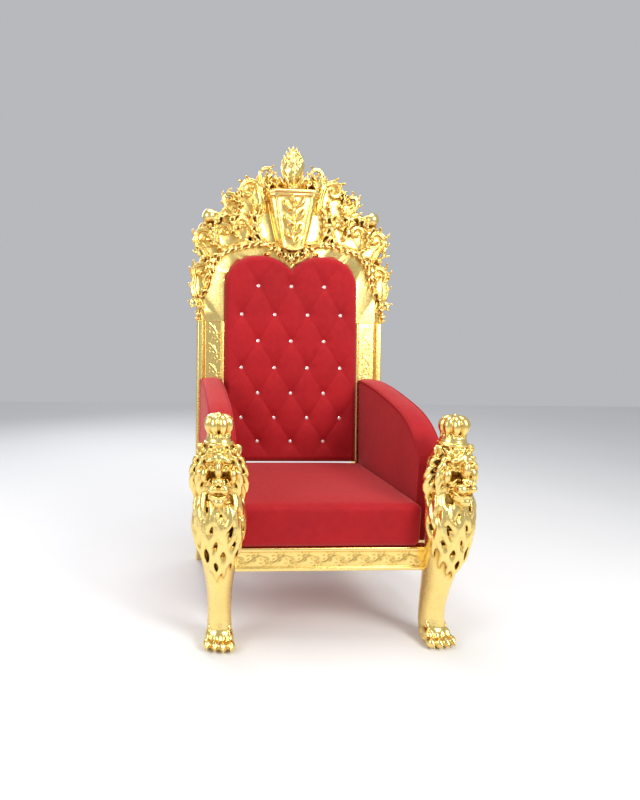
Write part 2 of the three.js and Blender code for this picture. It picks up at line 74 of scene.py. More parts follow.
# %% The camera
CAMERA_PLACE = Vector((-0.6334, PAWS_Y - 1.9987, 1.1121))
HEADING, PITCH, ROLL = (math.radians(a) for a in (3.78, 8.28, 1.01))
view = bpy.data.cameras.new("front_view")
view.sensor_width = 36
view.lens = 28.6
view.shift_x = 0.171
camera = bpy.data.objects.new("front_view", view)
bpy.context.scene.collection.objects.link(camera)
aim = Matrix.Rotation(-HEADING, 4, "Z") @ Matrix.Rotation(math.pi / 2 - PITCH, 4, "X") @ Matrix.Rotation(ROLL, 4, "Z")
camera.matrix_world = Matrix.Translation(CAMERA_PLACE) @ aim
bpy.context.scene.camera = camera

# %% [markdown]
# ## Floor and light
#
# A gilded piece shows mostly what it reflects, so the studio matters as much as the gold. Large soft lamps
# give broad cream highlights, and the darker room between them gives the gold its brown and olive shades.
# The floor and the wall are one pale sweep.

# %% Floor and wall in one sweep
bpy.ops.object.select_all(action="DESELECT")
bpy.ops.mesh.primitive_plane_add(size=1, location=(0, 0, 0))
sweep = bpy.context.object
sweep.name = "studio_sweep"
sweep.scale = (14, 10, 1)
bpy.ops.object.transform_apply(location=False, rotation=False, scale=True)


def soft_lamp(name, place, target, size, watts, tint=(1, 1, 1)):
    """A square lamp that faces a target."""
    lamp = bpy.data.lights.new(name, "AREA")
    lamp.shape, lamp.size, lamp.energy, lamp.color = "SQUARE", size, watts, tint
    holder = bpy.data.objects.new(name, lamp)
    bpy.context.scene.collection.objects.link(holder)
    toward = Vector(target) - Vector(place)
    holder.matrix_world = Matrix.Translation(place) @ toward.to_track_quat("-Z", "Y").to_matrix().to_4x4()
    return holder


# %% Lamps and room
soft_lamp("key_lamp", (1.9, -2.6, 2.7), (0, 0, 0.9), 1.5, 95, (1, 0.98, 0.94))
soft_lamp("fill_lamp", (-2.6, -1.6, 1.9), (0, 0, 0.9), 1.6, 40, (0.97, 0.98, 1))
soft_lamp("top_lamp", (0, 0.2, 3.4), (0, 0, 1), 1.6, 45)
soft_lamp("rear_lamp", (-1.2, 3.0, 2.4), (0, 0.2, 1), 1.6, 40)
world = bpy.data.worlds.new("studio_room")
world.use_nodes = True
room = world.node_tree.nodes["Background"]
room.inputs["Color"].default_value = (0.86, 0.88, 0.92, 1)
room.inputs["Strength"].default_value = 0.55
bpy.context.scene.world = world
bpy.context.scene.view_settings.view_transform = "Standard"

# %% [markdown]
# ## Writing finishes as sums
#
# A finish is easier to read as a formula than as a web of nodes. `Value` wraps a socket, so that adding or
# multiplying two of them adds the Math node that does it. `Finish` holds one material and makes other nodes.


# %% Sockets that can be added and multiplied
class Value:
    """A number that varies over the surface, as a socket in a finish."""

    def __init__(self, finish, socket):
        self.finish, self.socket = finish, socket

    def _sum(self, operation, *others, clamp=False):
        return self.finish.node("ShaderNodeMath", {"operation": operation, "use_clamp": clamp}, self, *others)

    def __add__(self, other):
        return self._sum("ADD", other)

    def __mul__(self, other):
        return self._sum("MULTIPLY", other)

    def __sub__(self, other):
        return self._sum("SUBTRACT", other)

    def __rsub__(self, other):
        return self.finish.node("ShaderNodeMath", {"operation": "SUBTRACT"}, other, self)

    def __pow__(self, other):
        return self._sum("POWER", other)

    __radd__, __rmul__ = __add__, __mul__

    def clamped(self):
        return self._sum("ADD", 0.0, clamp=True)


class Finish:
    """One material, its nodes and its shader."""

    def __init__(self, name):
        self.material = bpy.data.materials.new(name)
        self.material.use_nodes = True
        self.tree = self.material.node_tree
        self.shader = self.tree.nodes["Principled BSDF"]

    def feed(self, socket, value):
        """Links a varying value to a socket, or sets a constant on it."""
        if isinstance(value, Value):
            self.tree.links.new(value.socket, socket)
        else:
            socket.default_value = value

    def node(self, kind, settings, *inputs, output=0, **named):
        """A node with its settings, then its inputs in order or by name. Returns one of its outputs."""
        made = self.tree.nodes.new(kind)
        for key, setting in settings.items():
            setattr(made, key, setting)
        for socket, value in [*zip(made.inputs, inputs), *((made.inputs[k], v) for k, v in named.items())]:
            self.feed(socket, value)
        return Value(self, made.outputs[output])

    def place(self):
        """The object's own coordinates, which are the frame's, in metres."""
        return self.node("ShaderNodeTexCoord", {}, output="Object")

    def noise(self, scale, detail=2.0, rough=0.5, place=None):
        """Clouded noise from 0 to 1."""
        where = place or self.place()
        return self.node("ShaderNodeTexNoise", {}, output="Fac", Vector=where, Scale=scale, Detail=detail, Roughness=rough)

    def ramp(self, value, stops):
        """A colour that follows a value through (place, colour) stops."""
        made = self.tree.nodes.new("ShaderNodeValToRGB")
        while len(made.color_ramp.elements) < len(stops):
            made.color_ramp.elements.new(0.5)
        for element, (at, colour) in zip(made.color_ramp.elements, stops):
            element.position, element.color = at, (*colour, 1)
        self.feed(made.inputs["Fac"], value)
        return Value(self, made.outputs["Color"])

    def mix(self, amount, first, second, blend="MIX"):
        """Two colours mixed by an amount."""
        made = self.tree.nodes.new("ShaderNodeMix")
        made.data_type, made.blend_type = "RGBA", blend
        colours = [s for s in made.inputs if s.type == "RGBA"]
        self.feed(made.inputs["Factor"], amount)
        for socket, colour in zip(colours, (first, second)):
            self.feed(socket, colour if isinstance(colour, Value) else (*colour, 1))
        return Value(self, next(s for s in made.outputs if s.type == "RGBA"))

    def bump(self, height, depth, strength=1.0):
        """A normal bent by a height that is depth metres at 1."""
        return self.node("ShaderNodeBump", {}, output="Normal", Height=height, Distance=depth, Strength=strength)

    def shade(self, **sockets):
        """Sets the shader's sockets, named with underscores for spaces."""
        for name, value in sockets.items():
            socket = self.shader.inputs[name.replace("_", " ")]
            if socket.type == "RGBA" and isinstance(value, tuple):
                value = (*value, 1)
            self.feed(socket, value)
        return self.material


# %% [markdown]
# ## Gilding
#
# Gold leaf over carved wood is a metal, bright on what stands out. The hollows are painted dark brown as
# painted shade, and an ambient occlusion node finds them. The leaf is laid by hand, so its
# polish comes and goes in soft clouds, and fine ripples break the reflections.


# %% The gilding finish
def gilding(name, hollow_size, depth=0.0004):
    gold = Finish(name)
    hollow_shade = gold.node("ShaderNodeAmbientOcclusion", {"samples": 6, "only_local": True}, output="AO",
                       Distance=hollow_size)
    open_face = (hollow_shade ** 1.6).clamped()
    leaf = gold.noise(9, 3)
    # Painted shade: the colour runs from dark brown in the hollows that the ambient occlusion finds to bright gold on
    # open faces.
    colour = gold.ramp(open_face, [
        (0.0, (0.16, 0.06, 0.012)), (0.35, (0.50, 0.24, 0.035)), (0.7, (0.86, 0.56, 0.12)), (1.0, (1.0, 0.76, 0.28))])
    colour = gold.mix(leaf * 0.35, colour, (0.84, 0.62, 0.17))
    rough = 0.36 - open_face * 0.16 + gold.noise(60, 3) * 0.12
    ripple = gold.noise(90, 3) + gold.noise(420, 2) * 0.25
    return gold.shade(Base_Color=colour, Metallic=1.0, Roughness=rough, Coat_Weight=0.15, Coat_Roughness=0.12,
                      Normal=gold.bump(ripple, depth))


carved_gold = gilding("gilding_carved", 0.022)
plain_gold = gilding("gilding_plain", 0.012, 0.0003)


# %% [markdown]
# ## Velvet
#
# Velvet is a short pile that scatters light at a low angle, so its edges glow and its face is deep. The sheen
# sockets do this. The pile lies a little differently from place to place, which shows as clouds of lighter
# and darker red, and a very fine bump stands for the pile itself.


# %% The velvet finish
def velvet(name, face=(0.50, 0.008, 0.012), deep=(0.26, 0.003, 0.008)):
    cloth = Finish(name)
    brushed = cloth.noise(5, 3)
    nap = cloth.noise(38, 4, 0.6)
    shade_of_pile = (brushed * 0.7 + nap * 0.45 - 0.1).clamped()
    colour = cloth.mix(shade_of_pile, deep, face)
    pile = cloth.noise(2600, 1) + nap * 2.2
    return cloth.shade(Base_Color=colour, Roughness=0.86 - nap * 0.2, Specular_IOR_Level=0.25, Sheen_Weight=0.75,
                       Sheen_Roughness=0.38, Sheen_Tint=(1.0, 0.30, 0.30), Normal=cloth.bump(pile, 0.00035))


red_velvet = velvet("velvet_red")


# %% Small finishes: gilt nails, crystal, dust cloth and the sweep
def gilt_nail():
    nail = Finish("gilt_nail")
    return nail.shade(Base_Color=(0.98, 0.80, 0.42), Metallic=1.0, Roughness=0.16 + nail.noise(300, 2) * 0.16)


def crystal_glass():
    gem = Finish("crystal_button")
    glint = gem.noise(700, 1)
    colour = gem.ramp(glint, [(0.35, (0.95, 0.88, 0.84)), (0.62, (1.0, 0.97, 0.9))])
    return gem.shade(Base_Color=colour, Metallic=0.55, Roughness=0.05 + glint * 0.05, Coat_Weight=1.0, Coat_Roughness=0.02)


def bottoming():
    cloth = Finish("dust_cloth")
    thread = cloth.noise(1500, 2)
    return cloth.shade(Base_Color=cloth.mix(thread, (0.012, 0.012, 0.013), (0.03, 0.03, 0.032)), Roughness=0.92,
                       Normal=cloth.bump(thread, 0.0003))


def paper_sweep():
    paper = Finish("studio_paper")
    tone = paper.noise(1.2, 2)
    return paper.shade(Base_Color=paper.mix(tone, (0.79, 0.79, 0.80), (0.83, 0.83, 0.83)), Roughness=0.6 + tone * 0.1)


nail_gold, crystal, dust_cloth = gilt_nail(), crystal_glass(), bottoming()
sweep.data.materials.append(paper_sweep())
print("finishes:", [m.name for m in bpy.data.materials if m.use_nodes][-7:])

# %% [markdown]
# ## A carver's bench
#
# Carving is built up here from two things, and both are laid down in millimetres. A rod is a round bar along a
# smooth curve, with its own thickness at each point, so it can be a stem, a lock of hair or a leaf lobe that
# runs out to nothing. A blob is a stretched ball, for muscles, toes and buds. They overlap freely, and a voxel
# remesh then fuses them into one skin, as if they were cut from one block.


# %% Rods and blobs
def alone(piece):
    """Selects one piece and nothing else, and makes it the active one."""
    bpy.ops.object.select_all(action="DESELECT")
    piece.select_set(True)
    bpy.context.view_layer.objects.active = piece
    return piece


def joined(pieces, name):
    """Several pieces as one mesh."""
    bpy.ops.object.select_all(action="DESELECT")
    for piece in pieces:
        piece.select_set(True)
    bpy.context.view_layer.objects.active = pieces[0]
    bpy.ops.object.join()
    whole = bpy.context.object
    whole.name = name
    return whole


def rods(runs, roundness=2, fineness=4):
    """Round rods as one mesh. A run is a list of (place, radius), in millimetres."""
    curve = bpy.data.curves.new("rods", "CURVE")
    curve.dimensions, curve.use_fill_caps = "3D", True
    curve.bevel_depth, curve.bevel_resolution = MM, roundness
    for run in runs:
        spline = curve.splines.new("NURBS")
        spline.points.add(len(run) - 1)
        for point, (place, radius) in zip(spline.points, run):
            point.co = (*(Vector(place) * MM), 1)
            point.radius = max(radius, 0.15)
        spline.order_u, spline.resolution_u, spline.use_endpoint_u = 3, fineness, True
    piece = bpy.data.objects.new("rods", curve)
    bpy.context.scene.collection.objects.link(piece)
    alone(piece)
    bpy.ops.object.convert(target="MESH")
    return bpy.context.object


def blob(place, radii, turn=(0, 0, 0)):
    """A stretched ball, turned by degrees about its own middle, in millimetres."""
    bpy.ops.mesh.primitive_uv_sphere_add(
        segments=20, ring_count=12, radius=1, location=Vector(place) * MM, rotation=[math.radians(a) for a in turn])
    ball = bpy.context.object
    ball.scale = Vector(radii) * MM
    bpy.ops.object.transform_apply(location=True, rotation=True, scale=True)
    return ball


def modify(piece, kind, **settings):
    """Adds a modifier with its settings and applies it at once."""
    alone(piece)
    modifier = piece.modifiers.new(kind.lower(), kind)
    for key, setting in settings.items():
        setattr(modifier, key, setting)
    bpy.ops.object.modifier_apply(modifier=modifier.name)
    return piece


def fused(pieces, name, voxel, smoothing=4):
    """Pieces joined into one skin with small cells, then smoothed a little."""
    whole = joined(pieces, name)
    modify(whole, "REMESH", mode="VOXEL", voxel_size=voxel * MM)
    modify(whole, "SMOOTH", factor=0.5, iterations=smoothing)
    return whole


def triangles(piece):
    return sum(len(polygon.vertices) - 2 for polygon in piece.data.polygons)


# %% [markdown]
# Some lines are too fine to build up: the cut between the lips, a nostril, the crease between two toes. A
# gouge run along a line does them. Every point of the skin near the line moves inwards, most at the middle of
# the cut. With a negative depth the same tool raises a fine ridge.


# %% A gouge
def carve(piece, strokes):
    """Cuts grooves. A stroke is (list of places, radius, depth), in millimetres."""
    mesh = piece.data
    count = len(mesh.vertices)
    place, normal = np.empty(count * 3), np.empty(count * 3)
    mesh.vertices.foreach_get("co", place)
    mesh.vertex_normals.foreach_get("vector", normal)
    place, normal = place.reshape(-1, 3), normal.reshape(-1, 3)
    moved = place.copy()
    for points, radius, depth in strokes:
        line = np.array([list(p) for p in points]) * MM
        reach = radius * MM
        near = np.where(((place > line.min(0) - reach) & (place < line.max(0) + reach)).all(1))[0]
        if not len(near):
            continue
        best = np.full(len(near), np.inf)
        for start, end in zip(line[:-1], line[1:]):
            along = end - start
            t = np.clip(((place[near] - start) @ along) / max(along @ along, 1e-12), 0, 1)
            best = np.minimum(best, np.linalg.norm(place[near] - (start + t[:, None] * along), axis=1))
        cut = np.clip(1 - (best / reach) ** 2, 0, 1) ** 2
        moved[near] -= normal[near] * (cut * depth * MM)[:, None]
    mesh.vertices.foreach_set("co", moved.ravel())
    mesh.update()


# %% [markdown]
# Each finished piece is named, smooth-shaded, given its finish, and set to ride on the frame. A
# piece that stands for a node of the frame hides that node.


# %% Finishing a piece
def place_in_frame(piece, matrix):
    """Moves a piece's own points, so that its object stays at the origin."""
    alone(piece)
    piece.matrix_world = matrix @ piece.matrix_world
    bpy.ops.object.transform_apply(location=True, rotation=True, scale=True)
    return piece


def outward(piece):
    """Merges doubled points and turns every face outwards."""
    alone(piece)
    bpy.ops.object.mode_set(mode="EDIT")
    bpy.ops.mesh.select_all(action="SELECT")
    bpy.ops.mesh.remove_doubles(threshold=0.00001)
    bpy.ops.mesh.normals_make_consistent(inside=False)
    bpy.ops.object.mode_set(mode="OBJECT")
    return piece


def finished(piece, name, slot, material, *nodes, crease=None):
    """Names, shades and dresses a piece, and lets it ride."""
    piece.name = piece.data.name = name
    alone(piece)
    bpy.ops.object.shade_smooth()
    if crease:
        bpy.ops.object.shade_smooth_by_angle(angle=math.radians(crease))
    piece.data.materials.clear()
    piece.data.materials.append(material)
    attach(piece, "root")
    if nodes:
        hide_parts(*nodes)
    print(f"{name}: {triangles(piece)} triangles")
    return piece


def mirrored(piece, name):
    """The same piece on the chair's other side, with its own mesh."""
    twin = piece.copy()
    twin.data = piece.data.copy()
    twin.name = name
    bpy.context.scene.collection.objects.link(twin)
    twin.data.transform(Matrix.Scale(-1, 4, (1, 0, 0)))
    twin.data.flip_normals()
    return twin

# %% [markdown]
# # The crowned lions
#
# Each front leg is a lion standing on one paw: the paw and a smooth leg below, a chest covered in long wavy
# locks that narrow to a point, a frontal head with a full mane, and a closed crown. Carvers block out the
# masses first, then lay the hair over them in tiers, like roof tiles, and cut the face last. The same order
# is used here. One lion is made at the origin, facing the front, then turned, leaned and mirrored.

# %% Masses of the lion: level rings of the leg, chest and head
LION_X, LION_TURN, LION_LEAN = 364 * MM, math.radians(8), 0.027
LION_RINGS = [  # height, centre y, half width, half depth
    (16, -16, 43, 52), (62, -2, 42, 47), (112, 5, 39, 46), (190, -5, 42, 56), (250, -15, 50, 61),
    (312, -26, 62, 60), (380, -36, 70, 59), (440, -40, 73, 58), (492, -32, 67, 52), (530, -20, 61, 50),
    (580, -14, 63, 53), (634, -12, 64, 54), (672, -10, 54, 47), (694, -10, 36, 36)]


def ring_at(height):
    """Centre y, half width and half depth of the lion's body at a height."""
    heights = [ring[0] for ring in LION_RINGS]
    return [float(np.interp(height, heights, [ring[k] for ring in LION_RINGS])) for k in (1, 2, 3)]


def skin(height, angle, lift=0.0):
    """A place on the lion's body, by height and by angle from the front, lifted off it by some millimetres."""
    middle, wide, deep = ring_at(height)
    out = Vector((math.sin(angle), -math.cos(angle), 0))
    return Vector((wide * math.sin(angle), middle - deep * math.cos(angle), height)) + out * lift


def body_mass():
    """The body as one closed form, lofted through its rings by bridging edge loops."""
    bpy.ops.object.select_all(action="DESELECT")
    around = 32
    verts = [skin(height, 2 * math.pi * k / around) * MM for height, *_ in LION_RINGS for k in range(around)]
    mesh = bpy.data.meshes.new("body_mass")
    bands = [tuple(row * around + (k + s) % around + up * around for s, up in ((0, 0), (1, 0), (1, 1), (0, 1)))
             for row in range(len(LION_RINGS) - 1) for k in range(around)]
    top = (len(LION_RINGS) - 1) * around
    mesh.from_pydata(verts, [], [*bands, tuple(range(around))[::-1], tuple(range(top, top + around))])
    body = bpy.data.objects.new("body_mass", mesh)
    bpy.context.scene.collection.objects.link(body)
    return modify(body, "SUBSURF", levels=1, render_levels=1)


# %% [markdown]
# A lock of hair is three rods lying side by side that meet in one point. The dips between them are the
# grooves that a carver cuts with a V tool. Each lock sways in an S as it falls.


# %% Locks of hair
def lock(path, size, across, strands=3):
    """Rods for one lock along a path. size is its half width, and across(t) points sideways along it."""
    runs = []
    for strand in range(strands):
        aside = (strand - (strands - 1) / 2) * 1.05
        run = []
        for step, point in enumerate(path):
            t = step / (len(path) - 1)
            swell = math.sin(math.pi * min(1, 0.22 + 0.78 * t) ** 0.8) ** 0.7 if t < 1 else 0.0
            rise = 0.55 * size * (1 - abs(aside) * 0.45)
            run.append((point + across(t) * (aside * size * 0.62 * swell), max(0.5, rise * (0.35 + 0.75 * swell))))
        runs.append(run)
    return runs


def hanging_lock(top, bottom, angle, inward, sway, size, lift):
    """A lock that falls over the chest from one height to another."""
    path = []
    for step in range(6):
        t = step / 5
        turn = angle * (1 - inward * t) + sway * math.sin(t * math.pi * 1.7)
        path.append(skin(top + (bottom - top) * t, turn, lift * (0.2 + math.sin(math.pi * t) ** 0.8) - 2 * t))
    return lock(path, size, lambda t: Vector((math.cos(angle), math.sin(angle), 0)))


def chest_hair():
    """Tiers of locks, each narrower than the one above, down to a point in front of the leg."""
    tiers = [  # top, bottom, locks, half spread in radians, half width of a lock
        (330, 246, 3, 0.28, 11), (372, 270, 5, 0.75, 12), (416, 306, 7, 1.2, 13), (462, 346, 8, 1.5, 14),
        (506, 388, 9, 1.75, 14), (540, 430, 8, 1.75, 14)]
    chance = random.Random(5)
    runs = []
    for top, bottom, count, spread, size in tiers:
        for k in range(count):
            angle = spread * (2 * k / (count - 1) - 1)
            sway = (0.13 if (k % 2) else -0.10) + chance.uniform(-0.03, 0.03)
            runs += hanging_lock(top + chance.uniform(-6, 6), bottom + chance.uniform(-8, 8), angle, 0.22, sway, size,
                                 9 + chance.uniform(0, 3))
    return runs


def face_mane():
    """Locks that spring from round the face, flow outwards and then fall."""
    runs = []
    for side in (-1, 1):
        for layer, (count, reach, fall, root_scale) in enumerate([(7, 22, 66, 1.0), (7, 34, 92, 1.18)]):
            for k in range(count):
                turn = math.radians(78 - (k + 0.4 * layer) * 20)
                root = Vector((side * 50 * root_scale * math.cos(turn), -64 + 22 * layer, 604 + 62 * math.sin(turn)))
                out = Vector((side * math.cos(turn), 0, math.sin(turn)))
                tuck = 8 + 14 * layer
                path = [root, root + out * reach * 0.6 + Vector((0, 1, 4)),
                        root + out * reach + Vector((0, tuck * 0.6, -fall * 0.28)),
                        root + out * reach * 0.86 + Vector((side * 3, tuck, -fall * 0.62)),
                        root + out * reach * 0.45 + Vector((-side * 4, tuck * 0.6, -fall * 0.9)),
                        root + out * reach * 0.2 + Vector((-side * 10, tuck * 0.2, -fall * 1.08))]
                runs += lock(path, 10.5, lambda t, s=side: Vector((s * 0.75, 0.55, 0.2)))
        for k in range(8):  # the mane behind the ears, falling to the shoulder
            angle = side * (1.25 + 0.16 * (k % 4))
            top = 672 - 62 * (k // 4) - 9 * (k % 4)
            runs += hanging_lock(top, top - 104, angle, -0.06, side * 0.1 * (-1) ** k, 13, 8)
    for k in range(7):  # tufts on the brow, under the crown
        x = (k - 3) * 13
        base = Vector((x, -56 + abs(x) * 0.2, 662 - abs(x) * 0.12))
        runs += lock([base, base + Vector((x * 0.1, -9, 10)), base + Vector((x * 0.25, -5, 20)),
                      base + Vector((x * 0.35, 5, 22))], 7, lambda t: Vector((1, 0, 0)))
    return runs


# %% [markdown]
# The face is the only part that is looked at closely. The skull, the long bridge of the nose, the muzzle's
# two pads, the chin and the cheekbones are blobs. Lids, lips and brows are rods laid over them.


# %% The lion's face
def both(place, radii, turn=(0, 0, 0)):
    """A blob and its mirror image across the middle of the face."""
    x, y, z = place
    return [blob((side * x, y, z), radii, (turn[0], side * turn[1], side * turn[2])) for side in (-1, 1)]


def face_masses():
    return [
        blob((0, -40, 628), (49, 46, 52)),  # skull
        blob((0, -76, 646), (24, 18, 22)),  # brow's middle
        blob((0, -92, 614), (14, 26, 34), (14, 0, 0)),  # bridge of the nose
        blob((0, -117, 585), (18, 16, 11)),  # tip of the nose
        blob((0, -106, 518), (20, 22, 17)),  # chin
        blob((0, -86, 528), (34, 34, 20)),  # lower jaw
        blob((0, -88, 556), (34, 34, 22)),  # upper jaw
        *both((16, -108, 560), (19, 23, 17), (0, -8, 12)),  # muzzle pads
        *both((24, -79, 645), (20, 14, 10), (0, 18, 18)),  # brows
        *both((41, -60, 592), (17, 28, 30), (0, 0, 14)),  # cheekbones
        *both((24, -74, 618), (11, 11, 9)),  # eyes
        *both((58, -30, 666), (17, 11, 21), (0, 20, 20)),  # ears
    ]


def face_lines():
    runs = []
    for side in (-1, 1):
        runs.append([(Vector((side * x, y, z)), r) for x, y, z, r in [  # upper lid
            (10, -84, 617, 2.2), (17, -87, 625, 3.4), (26, -84, 626, 3.6), (35, -75, 619, 2.2)]])
        runs.append([(Vector((side * x, y, z)), r) for x, y, z, r in [  # lower lid
            (10, -84, 615, 2), (18, -85, 609, 3), (28, -81, 609, 2.8), (35, -74, 616, 1.8)]])
        runs.append([(Vector((side * x, y, z)), r) for x, y, z, r in [  # wing of the nose
            (4, -128, 576, 4), (13, -126, 577, 6.5), (18, -118, 584, 6), (15, -108, 593, 3)]])
        runs.append([(Vector((side * x, y, z)), r) for x, y, z, r in [  # lower lip
            (0, -122, 535, 4.5), (12, -119, 534, 5), (25, -108, 538, 4.5), (35, -90, 548, 2.5)]])
        runs.append([(Vector((side * x, y, z)), r) for x, y, z, r in [  # fold from the nose to the jaw
            (24, -96, 588, 4), (34, -86, 572, 6), (38, -76, 552, 6.5), (34, -68, 532, 4)]])
    return runs


def cut_face(head):
    """Eye corners, nostrils, the lips' line, the groove under the nose, the ears' hollows and whisker rows."""
    strokes = [([(0, -140, 578), (0, -132, 566), (0, -128, 552)], 3.5, 3.2)]
    for side in (-1, 1):
        strokes += [
            ([(0, -130, 549), (side * 10, -128, 543), (side * 22, -114, 545), (side * 34, -92, 554),
              (side * 40, -74, 560)], 5.5, 7.5),
            ([(side * 7, -132, 579), (side * 12, -130, 581), (side * 15, -124, 585)], 5, 5.5),
            ([(side * 9, -88, 616), (side * 13, -90, 614)], 5, 3.5),
            ([(side * 34, -76, 618), (side * 42, -68, 616)], 4, 3),
            ([(side * 62, -38, 672), (side * 62, -40, 658)], 9, 7),
            ([(side * 22, -85, 618), (side * 25, -85, 617)], 3.6, 2.6),
        ]
        for row in range(3):
            for dot in range(3):
                place = (side * (13 + 7 * dot), -131 + 4 * dot, 567 - 5 * row)
                strokes.append(([place, (place[0] + side, place[1] + 4, place[2])], 2.8, 1.6))
    carve(head, strokes)


# %% [markdown]
# The crown is closed, like a low dome on a collar. Eight fat gadroons make the dome. Under them are a row of
# small leaves with pearls between, the collar, and the flared ring that sits in the hair.


# %% The crown
def crown():
    top_y, lobes = -17, 8
    parts = [blob((0, top_y, 745), (37, 37, 30))]
    ribs = []
    for k in range(lobes):
        angle = 2 * math.pi * (k + 0.5) / lobes
        out = Vector((math.sin(angle), -math.cos(angle), 0))
        middle = Vector((0, top_y, 0))
        ribs.append([(middle + out * 6 + Vector((0, 0, 776)), 5), (middle + out * 26 + Vector((0, 0, 771)), 13),
                     (middle + out * 37 + Vector((0, 0, 750)), 15.5), (middle + out * 34 + Vector((0, 0, 729)), 12),
                     (middle + out * 25 + Vector((0, 0, 718)), 7)])
        for half, (reach, size) in enumerate([(36, 7.5), (35, 4.6)]):  # a leaf, then a pearl
            turned = angle + half * math.pi / lobes
            side = Vector((math.sin(turned), -math.cos(turned), 0))
            foot = middle + side * (reach - 2) + Vector((0, 0, 706))
            if half:
                parts.append(blob(middle + side * reach + Vector((0, 0, 716)), (size, size, size)))
            else:
                ribs.append([(foot, 4), (foot + side * 3 + Vector((0, 0, 8)), size),
                             (foot + side * 6 + Vector((0, 0, 17)), 2)])
    for reach, height, thick in [(36, 706, 5.5), (37, 697, 6.5), (45, 687, 6)]:  # collar and base ring
        loop = [Vector((reach * math.sin(a), top_y - reach * math.cos(a), height))
                for a in (2 * math.pi * k / 24 for k in range(25))]
        ribs.append([(p, thick) for p in loop])
    parts.append(blob((0, top_y, 700), (38, 38, 24)))
    parts.append(blob((0, top_y, 780), (7, 7, 6)))
    return [*parts, rods(ribs, 3)]


# %% [markdown]
# A lion's paw has four toes, each with two knuckles and a claw. The middle two lead. Small tufts of hair
# hang over their roots.


# %% The paw
def paw():
    parts = [blob((0, -16, 34), (47, 46, 40)), blob((0, -34, 22), (51, 40, 24))]
    claws = []
    for toe in (-1.5, -0.5, 0.5, 1.5):
        back = 7 * abs(toe - 0.2)
        x = toe * 26
        parts.append(blob((x * 0.86, -50 + back, 36), (14.5, 24, 17), (24, 0, 0)))
        parts.append(blob((x, -78 + back, 20), (15, 18, 17)))
        claws.append([(Vector((x, -88 + back, 25)), 6.5), (Vector((x, -99 + back, 19)), 5),
                      (Vector((x, -104 + back, 8)), 1.2)])
        for tuft in (-0.5, 0.5):
            root = Vector((x * 0.72 + tuft * 10, -34 + back, 74))
            claws += lock([root, root + Vector((tuft * 2, -12, -8)), root + Vector((tuft * 3, -19, -20))], 6,
                          lambda t: Vector((1, 0, 0)), strands=2)
    return [*parts, rods(claws)]


# %% [markdown]
# All of it is fused at once, then the face and toes are cut. The lion is turned a little outwards, leans
# outwards as it rises, and is cut flat where the rails and the arm meet it.


# %% The finished lions
def lion():
    parts = [body_mass(), *face_masses(), *crown(), *paw()]
    parts.append(rods([*chest_hair(), *face_mane(), *face_lines()], 1, 3))
    whole = fused(parts, "lion", 2.5, 3)
    cut_face(whole)
    for gap in (-1, 0, 1):
        carve(whole, [([(gap * 26, -110, 12), (gap * 25, -84, 42), (gap * 20, -58, 56)], 5, 3)])
    modify(whole, "SMOOTH", factor=0.4, iterations=1)
    return whole


left_lion = lion()
lean = Matrix.Identity(4)
lean[0][2] = -LION_LEAN
stand = Matrix.Translation((-LION_X, PAWS_Y, 0)) @ lean @ Matrix.Rotation(-LION_TURN, 4, "Z")
left_lion.data.transform(stand)
alone(left_lion)
bpy.ops.object.mode_set(mode="EDIT")
bpy.ops.mesh.select_all(action="SELECT")
bpy.ops.mesh.bisect(plane_co=(0, PAWS_Y + LION_BACK, 0), plane_no=(0, 1, 0), clear_outer=True, use_fill=True)
bpy.ops.mesh.select_all(action="SELECT")
bpy.ops.mesh.bisect(plane_co=(0, 0, 0), plane_no=(0, 0, -1), clear_outer=True, use_fill=True)
bpy.ops.object.mode_set(mode="OBJECT")
right_lion = mirrored(left_lion, "lion_right_carved")
finished(left_lion, "lion_left_carved", "gilding", carved_gold, "lion_left", crease=60)
finished(right_lion, "lion_right_carved", "gilding", carved_gold, "lion_right", crease=60)

# %% [markdown]
# # The frame of the back
#
# The back leans about the seat line. It is easiest to work on it standing upright: X runs across it, Y
# through it and Z up along it from the seat line, in millimetres. One matrix then leans everything into place.

# %% The back's own place and the heart-topped opening
LEAN = math.radians(7.8)
BACK = Matrix.Translation((0, PAWS_Y + 629 * MM, 465.5 * MM)) @ Matrix.Rotation(-LEAN, 4, "X")
BACK_THICK = 46
PANEL_HALF, PANEL_SHOULDER, LOBE_X, LOBE_TOP, CUSP = 285, 742, 139, 879, 820
CREST_FOOT, FRAME_HALF, BAND_WIDE = 596, 400, 84
SIDES = (("left", -1), ("right", 1))


def curved(start, leave, arrive, end, count):
    """Points along a curve from start to end, without the last one."""
    places = []
    for step in range(count):
        t = step / count
        weights = ((1 - t) ** 3, 3 * t * (1 - t) ** 2, 3 * t * t * (1 - t), t ** 3)
        places.append(tuple(sum(w * p[k] for w, p in zip(weights, (start, leave, arrive, end))) for k in (0, 1)))
    return places


def heart_half(grow=0.0, bottom=0.0, count=14):
    """The right half of the opening's edge, from its foot to the cusp, grown outwards by some millimetres."""
    half, lobe, cusp = PANEL_HALF + grow, LOBE_TOP + grow, CUSP + grow
    rise = [(half, bottom + (PANEL_SHOULDER - bottom) * k / 12) for k in range(12)]
    corner = curved((half, PANEL_SHOULDER), (half, PANEL_SHOULDER + 80), (half - 60, lobe), (LOBE_X, lobe), count)
    fall = curved((LOBE_X, lobe), (80, lobe), (30, lobe - 25), (0, cusp), count)
    return [*rise, *corner, *fall, (0, cusp)]


def whole_edge(half):
    """Both halves of a symmetric edge, from the right foot over the top to the left foot."""
    return [*half, *((-x, z) for x, z in reversed(half[:-1]))]


